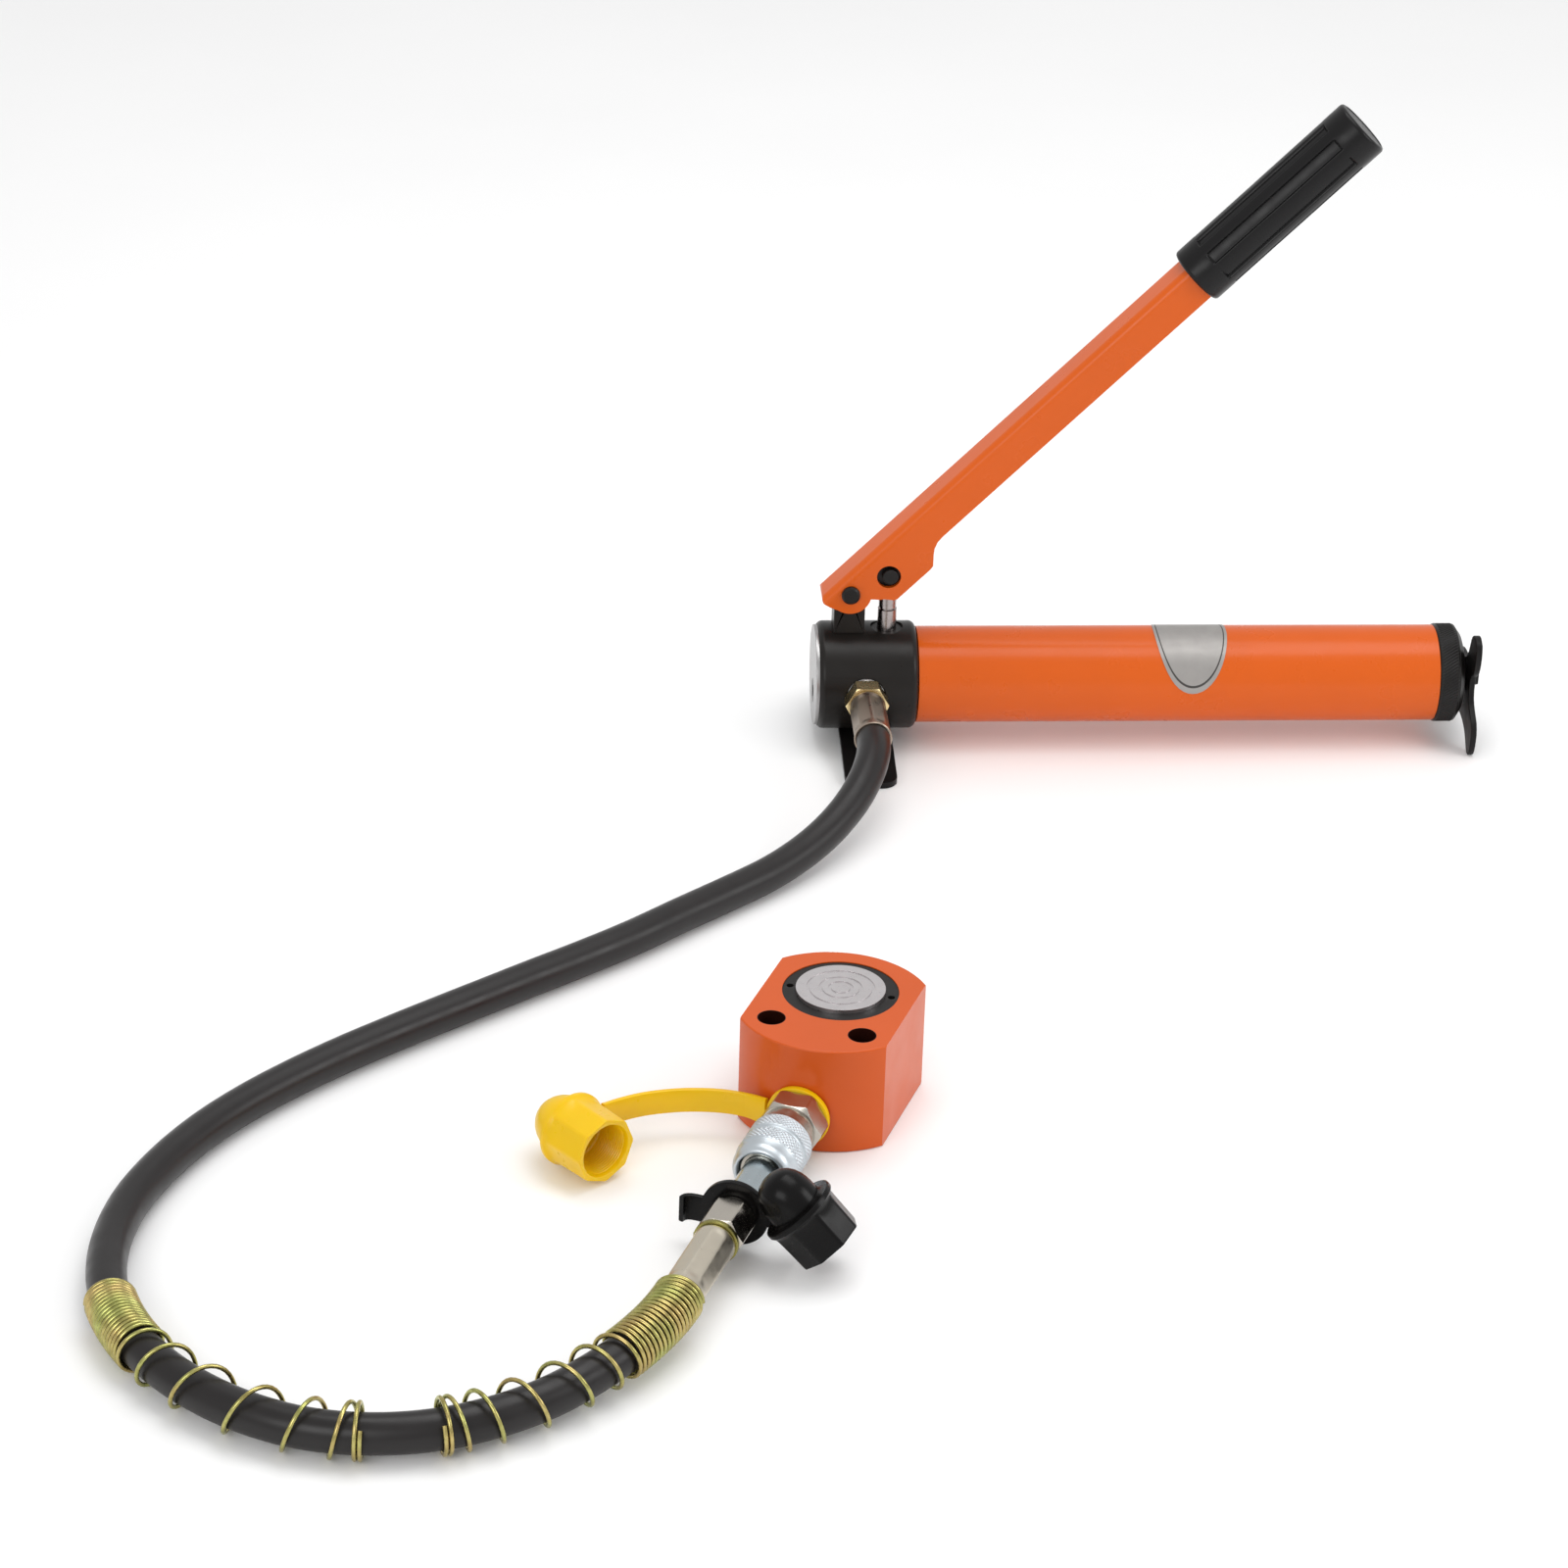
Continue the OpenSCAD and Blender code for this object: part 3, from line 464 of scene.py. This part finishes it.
finish("gold_zinc", linear(228, 208, 158), 0.26, 1.0).mottle(0.06, 60).gloss(0.05, 250).grain(2200, 0.04)
finish("bright_washer", linear(222, 221, 219), 0.45, 0.8).mottle(0.03, 60).gloss(0.05, 250)
finish("olive_zinc", linear(150, 144, 84), 0.28, 1.0).mottle(0.06, 60).gloss(0.05, 250).grain(2200, 0.04)
finish("hose_rubber", linear(27, 24, 24), 0.36, specular=0.35).mottle(0.06, 60).gloss(0.05, 120).grain(
    1700, 0.06)
finish("grip_plastic", linear(14, 13, 14), 0.30, specular=0.25).mottle(0.05, 60).gloss(0.05, 150).grain(
    1600, 0.05)
finish("black_plastic", linear(9, 8, 8), 0.26, specular=0.16).mottle(0.05, 80).gloss(0.05, 120).grain(
    900, 0.04)
finish("seal_rubber", linear(24, 24, 24), 0.55).mottle(0.06, 120).gloss(0.05).grain(1800, 0.1)
finish("yellow_plastic", linear(232, 188, 4), 0.30, coat=0.1, specular=0.3).mottle(
    0.03, 60).gloss(0.04, 120).grain(700, 0.04)
M["yellow_plastic"].node_tree.nodes["Principled BSDF"].inputs["Subsurface Weight"].default_value = 0.12
M["yellow_plastic"].node_tree.nodes["Principled BSDF"].inputs["Subsurface Scale"].default_value = 0.003


def darken_bolt_holes():
    """Painted shade: the unlit inside of the ram's two through holes, coloured dark brown over the orange."""
    flat = ram_paint.node("ShaderNodeMapping")
    flat.inputs["Scale"].default_value = (1, 1, 0)
    ram_paint.link(ram_paint.coordinates, flat.inputs["Vector"])
    for x in (-20.5 * MM, 20.5 * MM):
        away = ram_paint.node("ShaderNodeVectorMath")
        away.operation = "DISTANCE"
        ram_paint.link(flat.outputs["Vector"], away.inputs[0])
        away.inputs[1].default_value = RAM_PLACE @ Vector((x, -23.3 * MM, 0))
        inside = ram_paint.ranged(away.outputs["Value"], 1, 0, 6.1 * MM, 6.3 * MM)
        # painted shade: dark brown mixed into the base colour inside each hole
        ram_paint.paint = ram_paint.mixed(inside, ram_paint.paint, linear(40, 14, 8))
    ram_paint.link(ram_paint.paint, ram_paint.shader.inputs["Base Color"])


darken_bolt_holes()


def make_spring_finish():
    """Yellow zinc with the green and rose bands that passivation leaves."""
    made = finish("iridescent_zinc", linear(186, 174, 112), 0.27, 1.0)
    tint = made.ranged(made.noise(70, 2), 0, 1, 0.35, 0.65)
    warm = made.mixed(tint, linear(182, 186, 112), linear(200, 178, 118))
    deep = made.mixed(made.ranged(made.noise(260, 3), 0, 0.5), warm, linear(112, 100, 50))
    made.link(deep, made.shader.inputs["Base Color"])
    made.gloss(0.07, 300).grain(2600, 0.15)


def make_label_finish():
    """Blank foil with a dark printed border line."""
    made = finish("blank_label", linear(158, 155, 152), 0.42, 0.5)
    made.mottle(0.05, 140)
    low, high = (np.array(c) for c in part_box("label_plate"))
    middle = (low + high) / 2
    half = 18.5 * MM
    girth = 38 * MM
    mapping = made.node("ShaderNodeMapping")
    mapping.vector_type = "TEXTURE"
    mapping.inputs["Location"].default_value = (middle[0], PUMP[1], PUMP[2])
    made.link(made.coordinates, mapping.inputs["Vector"])
    split = made.node("ShaderNodeSeparateXYZ")
    made.link(mapping.outputs["Vector"], split.inputs["Vector"])

    def maths(operation, a, b=None):
        step = made.node("ShaderNodeMath")
        step.operation = operation
        for socket, value in zip(step.inputs, (a, b)):
            if isinstance(value, bpy.types.NodeSocket):
                made.link(value, socket)
            elif value is not None:
                socket.default_value = value
        return step.outputs[0]

    angle = maths("ARCTAN2", split.outputs["Y"], split.outputs["Z"])
    across = maths("POWER", maths("DIVIDE", split.outputs["X"], half), 2.0)
    round_it = maths("POWER", maths("DIVIDE", maths("MULTIPLY", angle, 24.5 * MM), girth), 2.0)
    reach = maths("ADD", across, round_it)
    line = maths("MULTIPLY", maths("GREATER_THAN", reach, 0.80), maths("LESS_THAN", reach, 0.86))
    out = made.mixed(line, made.paint, linear(70, 68, 66))
    made.link(out, made.shader.inputs["Base Color"])
    made.gloss(0.06, 250).grain(1800, 0.15)


make_spring_finish()
make_label_finish()


def paint(piece, name):
    """Gives a piece or a CAD node one material."""
    piece.data.materials.clear()
    piece.data.materials.append(M[name])


for piece, name in ((hose, "hose_rubber"), (guard_pump, "iridescent_zinc"), (guard_ram, "iridescent_zinc")):
    paint(piece, name)


# ---------------------------------------------------------------- carried-over CAD nodes

def soften(node, width, segments=2, angle=38):
    """Rounds a CAD node's edges where it is drawn."""
    weld = node.modifiers.new("weld", "WELD")
    weld.merge_threshold = 2e-6
    bevel = node.modifiers.new("edges", "BEVEL")
    bevel.width = width
    bevel.segments = segments
    bevel.limit_method = "ANGLE"
    bevel.angle_limit = math.radians(angle)
    bevel.miter_outer = "MITER_ARC"
    bevel.harden_normals = False
    normals = node.modifiers.new("normals", "WEIGHTED_NORMAL")
    normals.weight = 60
    normals.thresh = 0.02


CAD_LOOKS = {
    "pump_head": ("black_enamel", 0.4), "face_plate": ("face_disc", 0.3),
    "relief_plug": ("black_oxide", 0.3), "delivery_spring": ("machined", 0),
    "delivery_ball": ("machined", 0), "suction_ball": ("machined", 0), "suction_seat": ("machined", 0),
    "fulcrum_lug": ("black_enamel", 0.5), "gland_nut": ("black_enamel", 0.2),
    "piston": ("piston_steel", 0.25), "piston_seal": ("seal_rubber", 0),
    "piston_pin": ("black_oxide", 0), "handle": ("orange_enamel", 0.45),
    "handle_grip": ("grip_plastic", 0), "pivot_pin": ("black_oxide", 0.2),
    "pivot_clip": ("machined", 0.1), "reservoir_tube": ("orange_enamel", 0.3),
    "tube_seals": ("seal_rubber", 0), "oil_bladder": ("seal_rubber", 0), "tie_rod": ("machined", 0.3),
    "rear_cap": ("black_oxide", 0.3), "foot_spacer": ("black_oxide", 0.3),
    "rear_foot": ("black_foot", 0.5), "rear_foot_nut": ("black_oxide", 0.3),
    "front_foot": ("black_foot", 0.5), "front_foot_screws": ("machined", 0.2),
    "release_valve": ("black_oxide", 0.3), "release_ball": ("machined", 0),
    "label_plate": ("blank_label", 0), "outlet_washer": ("bright_washer", 0.2),
    "outlet_nut": ("gold_zinc", 0.25), "hose_ferrule_pump": ("brown_ferrule", 0),
    "hose": ("hose_rubber", 0), "spring_guard_pump": ("iridescent_zinc", 0),
    "spring_guard_ram": ("iridescent_zinc", 0), "hose_ferrule_ram": ("pale_ferrule", 0),
    "hose_adaptor": ("nickel", 0), "male_coupler": ("nipple_zinc", 0.3),
    "male_dust_cap": ("black_plastic", 0), "coupler_body": ("nickel", 0),
    "coupler_seal": ("seal_rubber", 0), "lock_balls": ("machined", 0),
    "coupler_sleeve": ("blue_zinc", 0), "female_dust_cap": ("yellow_plastic", 0),
    "cylinder_body": ("orange_ram", 0.5), "stop_ring": ("black_oxide", 0.25),
    "ram": ("ram_steel", 0.25), "ram_seal": ("seal_rubber", 0), "return_spring": ("machined", 0),
    "base_plug": ("machined", 0.4),
}
for name, (look, edge) in CAD_LOOKS.items():
    paint(nodes[name], look)
    if edge:
        soften(nodes[name], edge * MM)


# ---------------------------------------------------------------- lever and grip

def make_grip():
    """Moulded sleeve with eight flat-floored flutes between plain collars, and a closed end face."""
    length, radius, middle = 108 * MM, 15 * MM, -0.7 * MM
    start = 232 * MM
    place = LEVER_PLACE @ Matrix.Translation((start, 0, middle)) @ Matrix.Rotation(math.radians(90), 4, "Y")
    end_marks = [0, 0.4, 1.2, 2.2, 8, 12.4, 12.7, 13, 13.4, 13.9, 14.6]
    stations = (end_marks + list(np.linspace(16, length / MM - 16, 24))
                + [length / MM - z for z in end_marks[::-1]])
    outer = []
    for z in stations:
        from_end = min(z, length / MM - z)
        r = radius / MM - (1.8 - math.sqrt(max(0, 1.8 ** 2 - (1.8 - min(from_end, 1.8)) ** 2)))
        outer.append((r * MM, z * MM))
    inner = [(12.9 * MM, length), (12.6 * MM, length - 0.4 * MM), (6 * MM, length - 0.5 * MM),
             (0.4 * MM, length - 0.5 * MM), (0.4 * MM, 1 * MM), (11 * MM, 1 * MM), (11.6 * MM, 0)]

    def flute(angle, r, z):
        if r < 13.1 * MM:
            return r
        end = min(1.0, max(0.0, (min(z, length - z) / MM - 12.5) / 1.4))
        across = abs((angle * 8 / (2 * math.pi) + 0.11) % 1 - 0.5)
        wall = min(1.0, max(0.0, (0.29 - across) / 0.06))
        return r - 1.5 * MM * smooth(end) * smooth(wall)

    grip = lathe("fluted_grip", outer + inner, place, "lever", 384, flute, 40)
    paint(grip, "grip_plastic")
    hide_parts("handle_grip")


make_grip()


# ---------------------------------------------------------------- rear cap

def make_rear_cap():
    """Cap with a band of slanting knurl and a smooth chamfer behind it."""
    low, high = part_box("rear_cap")
    front = low[0] + 7 * MM
    back = high[0]
    place = Matrix.Translation((front, PUMP[1], PUMP[2])) @ Matrix.Rotation(math.radians(90), 4, "Y")
    length = back - front
    r = 24.9 * MM
    band = [(r, z * MM) for z in np.linspace(1.0, 9.4, 36)]
    profile = ([(4.2 * MM, -7 * MM), (21.6 * MM, -7 * MM), (21.6 * MM, 0.02 * MM), (r - 0.8 * MM, 0.02 * MM),
                (r - 0.3 * MM, 0.3 * MM)]
               + band + [(r - 0.3 * MM, 9.9 * MM), (r - 0.3 * MM, 10.4 * MM),
                         (r - 3.4 * MM, length - 0.4 * MM),
                         (r - 4.0 * MM, length), (4.2 * MM, length)])

    def knurl(angle, radius, z):
        if radius < r - 0.01 * MM:
            return radius
        t = (angle * 96 / (2 * math.pi) + z / (2.6 * MM)) % 1
        end = min(1.0, (z - 0.9 * MM) / (0.8 * MM), (9.5 * MM - z) / (0.8 * MM))
        return radius + 0.1 * MM - 0.55 * MM * abs(2 * t - 1) * max(0.0, end)

    cap = lathe("knurled_cap", profile, place, "base", 768, knurl, 50)
    paint(cap, "black_oxide")
    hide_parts("rear_cap")


make_rear_cap()


# ---------------------------------------------------------------- release knob

def make_release_knob():
    """Fluted knob on a plain stem, on the far side."""
    place = Matrix.Translation(PUMP + Vector((-0.012, 0, 0))) @ Matrix.Rotation(math.radians(-90), 4, "X")
    r = 9.4 * MM
    side = [(r, z * MM) for z in np.linspace(27.2, 37.8, 16)]
    profile = ([(0.3 * MM, 8.5 * MM), (3.6 * MM, 8.5 * MM), (4 * MM, 8.9 * MM), (4 * MM, 26 * MM),
                (r - 1 * MM, 26 * MM), (r - 0.3 * MM, 26.3 * MM)]
               + side + [(r - 0.3 * MM, 38.7 * MM), (r - 1 * MM, 39 * MM), (4.5 * MM, 39 * MM),
                         (4 * MM, 38.4 * MM), (0.3 * MM, 38.4 * MM)])

    def flutes(angle, radius, z):
        if radius < r - 0.01 * MM:
            return radius
        hollow = max(0.0, math.cos(angle * 12)) ** 1.5
        end = min(1.0, (z - 26.6 * MM) / (1.5 * MM), (38.4 * MM - z) / (1.5 * MM))
        return radius - 0.75 * MM * hollow * max(0.0, end)

    knob = lathe("fluted_knob", profile, place, "release_knob", 240, flutes, 40)
    paint(knob, "black_oxide")
    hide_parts("release_valve")


make_release_knob()


# ---------------------------------------------------------------- crimped ferrules

def make_ferrule(name, node, place, start, end, lip, look):
    """Crimped sleeve: shallow flats from the crimping jaws, plain ends, and a rounded lip over the hose."""
    r = 9 * MM
    stations = list(np.linspace(start + 1.2 * MM, end - 1.6 * MM, 40))
    lip_r = r + lip
    profile = ([(3.2 * MM, start), (r - 1 * MM, start), (r - 0.3 * MM, start + 0.4 * MM)]
               + [(r, z) for z in stations]
               + [(lip_r, end - 1.2 * MM), (lip_r, end - 0.4 * MM), (lip_r - 0.35 * MM, end),
                  (8.45 * MM, end),
                  (8.4 * MM, end - 1.5 * MM), (3.2 * MM, end - 1.5 * MM)])

    def crimp(angle, radius, z):
        if abs(radius - r) > 0.01 * MM:
            return radius
        along = min(1.0, max(0.0, (z - start - 2.5 * MM) / (2.5 * MM)),
                    max(0.0, (end - 3.5 * MM - z) / (2.5 * MM)))
        sector = 2 * math.pi / 8
        phase = abs((angle % sector) - sector / 2)
        flat = r * math.cos(sector / 2 * 0.78) / math.cos(min(phase, sector / 2 * 0.78))
        ridge = 0.12 * MM if phase > sector / 2 * 0.86 else 0.0
        return radius + along * (min(flat, r) - r + ridge)

    sleeve = lathe(name, profile, place, "base", 192, crimp, 28)
    paint(sleeve, look)
    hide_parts(node)
    return sleeve


make_ferrule("crimped_ferrule_pump", "hose_ferrule_pump", OUTLET_PLACE, 37 * MM, 73 * MM, 0.4 * MM,
             "brown_ferrule")
ferrule_ram = make_ferrule("crimped_ferrule_ram", "hose_ferrule_ram", PORT_PLACE, 150.5 * MM, 192 * MM, 0.0,
                           "pale_ferrule")


# ---------------------------------------------------------------- coupler sleeve and ringed body

def make_sleeve():
    """Locking sleeve with two bands of diamond knurl, a plain groove between them and a rounded nose."""
    bands = ((68.3, 75.6), (78.9, 86.4))
    r = 14.0
    outer = [(13.3, 67.5), (13.8, 67.8)]
    for k, (a, b) in enumerate(bands):
        outer += [(r, z) for z in np.linspace(a, b, 34)]
        if k == 0:
            outer += [(13.55, 75.9), (13.1, 76.3), (13.0, 77.2), (13.1, 78.2), (13.55, 78.6)]
    outer += [(13.6, 86.9), (13.35, 87.4), (13.35, 91.4), (13.1, 92.6), (12.5, 94.0), (11.7, 95.0),
              (10.9, 95.5),
              (10.3, 95.45), (10.1, 95.1)]
    inner = [(10.1, 77.0), (12.1, 77.0), (12.1, 67.7), (12.3, 67.5)]
    profile = [(x * MM, z * MM) for x, z in outer + inner]

    def knurl(angle, radius, z):
        if radius < 13.99 * MM:
            return radius
        z /= MM
        inside = max(min(z - a, b - z) for a, b in bands)
        end = min(1.0, max(0.0, inside / 0.5))
        turns = angle * 42 / (2 * math.pi)
        climb = z / 2.1
        p, q = (abs(2 * ((turns + way * climb) % 1) - 1) for way in (1, -1))
        groove = 1 - min(1.0, min(p, q) / 0.5)
        return radius - 0.45 * MM * end * groove

    sleeve = lathe("knurled_sleeve", profile, PORT_PLACE, "lock_sleeve", 672, knurl, 60)
    paint(sleeve, "blue_zinc")
    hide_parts("coupler_sleeve")


make_sleeve()


HEX_MARK = 30 * MM                             # stands for a hexagon's side in a turned profile


def hex_stations(start, end):
    """Heights along a hexagon, close together over its chamfers."""
    chamfer = [0, 0.12, 0.25, 0.4, 0.55, 0.7, 0.9, 1.1, 1.4, 1.8]
    near = [start + d * MM for d in chamfer]
    return [(HEX_MARK, z) for z in near + [(start + end) / 2] + [end - d * MM for d in chamfer[::-1]]]


def hex_shape(start, end, flats):
    """Radius of a hexagon between two heights, with both ends turned to a chamfer."""
    def shape(angle, radius, z):
        if radius != HEX_MARK:
            return radius
        phase = (angle % (math.pi / 3)) - math.pi / 6
        side = min(flats / 2 / math.cos(phase), flats / 2 / math.cos(math.pi / 6) * 0.985)
        return min(side, 0.975 * flats / 2 + 1.73 * min(z - start, end - z))
    return shape


def make_coupler_body():
    """Hexagon with chamfered corners, a finely ringed barrel and the plain socket under the sleeve."""
    start, end, flats = 46.5 * MM, 58.5 * MM, 25.4 * MM
    rings = []
    for z in np.arange(58.9, 66.6, 0.75):
        rings += [(11.95, z), (11.95, z + 0.4), (11.65, z + 0.5), (11.65, z + 0.65)]
    before = [(4, 33.5), (6.85, 33.5), (6.85, 46.5)]
    after = [(11.9, 58.6)] + rings + [(11.8, 67.2), (11.8, 71.9), (9.6, 72.0), (9.6, 92.6), (9.2, 93.0),
                                      (8.0, 93.0),
                                      (7.85, 92.7), (7.85, 65.2), (4, 65.0)]
    profile = ([(x * MM, z * MM) for x, z in before] + hex_stations(start, end)
               + [(x * MM, z * MM) for x, z in after])
    body = lathe("coupler_hexagon", profile, PORT_PLACE, "base", 240, hex_shape(start, end, flats), 25)
    paint(body, "nickel")
    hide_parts("coupler_body")


def make_adaptor():
    """Small hexagon behind the nipple, and the olive collar between it and the ferrule."""
    start, end, flats = 131 * MM, 148 * MM, 19 * MM
    profile = ([(3 * MM, 127.5 * MM), (8.3 * MM, 127.5 * MM), (8.6 * MM, 127.8 * MM), (8.6 * MM, start)]
               + hex_stations(start, end) + [(3 * MM, end)])
    hexagon = lathe("adaptor_hexagon", profile, PORT_PLACE, "base", 240, hex_shape(start, end, flats), 25)
    paint(hexagon, "nickel")
    ring = rounded([(3 * MM, 148.05 * MM), (9.8 * MM, 148.05 * MM), (9.8 * MM, 150.45 * MM),
                    (3 * MM, 150.45 * MM)],
                   0.6 * MM)
    collar = lathe("adaptor_collar", ring, PORT_PLACE, "base", 96)
    paint(collar, "olive_zinc")
    for piece in (hexagon, collar):
        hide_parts("hose_adaptor")
    return [hexagon, collar]


make_coupler_body()
adaptor_pieces = make_adaptor()


# ---------------------------------------------------------------- dust caps

def cap_outline(angle, radius, sides, softness):
    """A polygon with soft corners, as wide as the radius at its corners."""
    sector = 2 * math.pi / sides
    phase = abs((angle % sector) - sector / 2)
    flat = radius * math.cos(sector / 2) / math.cos(phase)
    return min(flat, radius * softness)


def make_cap(name, place, dome, depth, look):
    """Cup with an eight-sided skirt, a thin flange, and a domed end behind it."""
    skirt = [(15.0, depth), (15.1, depth - 0.5), (15.15, depth - 1.2), (15.3, depth * 0.6),
             (15.45, depth * 0.3),
             (15.55, 2.2), (15.6, 0.9)]
    flange = [(16.1, 0.25), (16.55, -0.3), (16.6, -1.2), (16.5, -2.0), (16.0, -2.4), (dome[0][0] + 1, -2.5)]
    hollow = [(0.3, 4.0), (10.8, 4.0), (11.5, 4.5)]
    thread = []
    for z in np.arange(5.5, depth - 3, 1.2):
        thread += [(11.8, z), (11.5, z + 0.45), (11.8, z + 0.9)]
    mouth = [(11.8, depth - 2.2), (11.9, depth - 0.8), (12.2, depth - 0.2), (12.7, depth), (14.6, depth)]
    profile = [(x * MM, z * MM) for x, z in skirt + flange + dome + hollow + thread + mouth]

    def shape(angle, radius, z):
        if radius > 14.5 * MM and z > 0.5 * MM:
            blend = min(1.0, (z / MM - 0.5) / 2.5)
            return radius + blend * (cap_outline(angle, radius, 8, 0.985) - radius)
        return radius

    cap = lathe(name, profile, place, "base", 192, shape, 30)
    paint(cap, look)
    return cap


def make_strap(name, path, width, thick, look, ends=(1.0, 1.0)):
    """Flat moulded band that stands on edge, wider where it joins what it holds."""
    path = resampled(spline(path, 16), 1.2 * MM)
    count = len(path)
    half, t = width / 2, thick / 2
    corner = 0.45 * MM
    outline = []
    for sx, sy, a0 in ((1, 1, 0), (-1, 1, 90), (-1, -1, 180), (1, -1, 270)):
        for a in (0, 45, 90):
            angle = math.radians(a0 + a)
            outline.append((sx * (t - corner) + corner * math.cos(angle),
                            sy * (half - corner) + corner * math.sin(angle)))
    outline = np.array(outline)
    rings = tube_along(path, 0, section=outline)
    for i in range(count):
        f = i / (count - 1)
        grow = 1 + (ends[0] - 1) * max(0, 1 - f / 0.18) ** 2 + (ends[1] - 1) * max(0, 1 - (1 - f) / 0.18) ** 2
        rings[i, :, 2] = path[i, 2] + (rings[i, :, 2] - path[i, 2]) * grow
    verts, faces = skin(rings)
    strap = add_mesh(name, verts, faces, "base", 40)
    paint(strap, look)
    return strap


def make_tether_ring(name, start, thick, inner, outer, look):
    a, b = start, start + thick
    profile = rounded([(inner, a), (outer, a), (outer, b), (inner, b)], 0.5 * MM)
    ring = lathe(name, profile, PORT_PLACE, "base", 128)
    paint(ring, look)
    return ring


def make_yellow_cap():
    dome = [(13.2, -3.2), (13.05, -5.0), (12.8, -7.0), (12.2, -9.2), (11.3, -11.4), (10.0, -13.6),
            (8.2, -15.7),
            (5.8, -17.5), (3.0, -18.6), (0.3, -18.95)]
    cap = make_cap("yellow_cap", YELLOW_CAP_PLACE, dome, 22.0, "yellow_plastic")
    ring = make_tether_ring("yellow_ring", 43.75 * MM, 2.7 * MM, 7.3 * MM, 14 * MM, "yellow_plastic")
    path = [(-142.6, -196.6), (-150, -191), (-162, -187), (-177.5, -186), (-193, -188.5), (-205, -193.5),
            (-212.8, -199.8)]
    strap = make_strap("yellow_strap", [(x * MM, y * MM, 15.9 * MM) for x, y in path], 11.2 * MM, 2.2 * MM,
                       "yellow_plastic", (1.2, 1.25))
    for piece in (cap, ring, strap):
        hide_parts("female_dust_cap")


def make_black_cap():
    """Black cap folded back beside its ring, with the free ear of the ring's strap on the other side."""
    dome = [(11.9, -3.0), (11.85, -7.0), (11.6, -9.6), (11.0, -12.4), (10.0, -14.8), (8.6, -16.9),
            (6.6, -18.7),
            (3.9, -19.9), (0.3, -20.3)]
    cap = make_cap("black_cap", BLACK_CAP_PLACE, dome, 18.5, "black_plastic")
    ring = make_tether_ring("black_ring", 124.6 * MM, 2.8 * MM, 8 * MM, 14.8 * MM, "black_plastic")
    at = RAM_PLACE
    ear_line = [(-11, -126.2, 15.6), (-15, -126.2, 16), (-19, -126.6, 16.2), (-21.4, -127.8, 16.2),
                (-22.3, -130, 16.2)]
    ear = [at @ (Vector(p) * MM) for p in ear_line]
    tab = make_strap("black_ear", ear, 12.2 * MM, 2.2 * MM, "black_plastic", (1.4, 1.0))
    link = [at @ Vector(p) for p in ((0.0115, -0.1262, 0.0185), (0.0150, -0.1262, 0.0195),
                                     (0.0185, -0.1264, 0.0205))]
    hinge = make_strap("black_link", link, 10.4 * MM, 2.4 * MM, "black_plastic", (1.15, 1.1))
    for piece in (cap, ring, tab, hinge):
        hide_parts("male_dust_cap")
    return [cap, ring, tab, hinge]


make_yellow_cap()
black_pieces = make_black_cap()


# ---------------------------------------------------------------- floor

def make_floor():
    mesh = bpy.data.meshes.new("floor")
    s = 6
    mesh.from_pydata([(-s, -s, 0), (s, -s, 0), (s, s, 0), (-s, s, 0)], [], [(0, 1, 2, 3)])
    floor = bpy.data.objects.new("floor", mesh)
    floor.location.z = -0.0002
    bpy.context.collection.objects.link(floor)
    made = Finish("pale_floor", (0.94, 0.94, 0.94, 1), 0.7, specular=0.1)
    made.mottle(0.01, 4)
    mesh.materials.append(made.material)


make_floor()
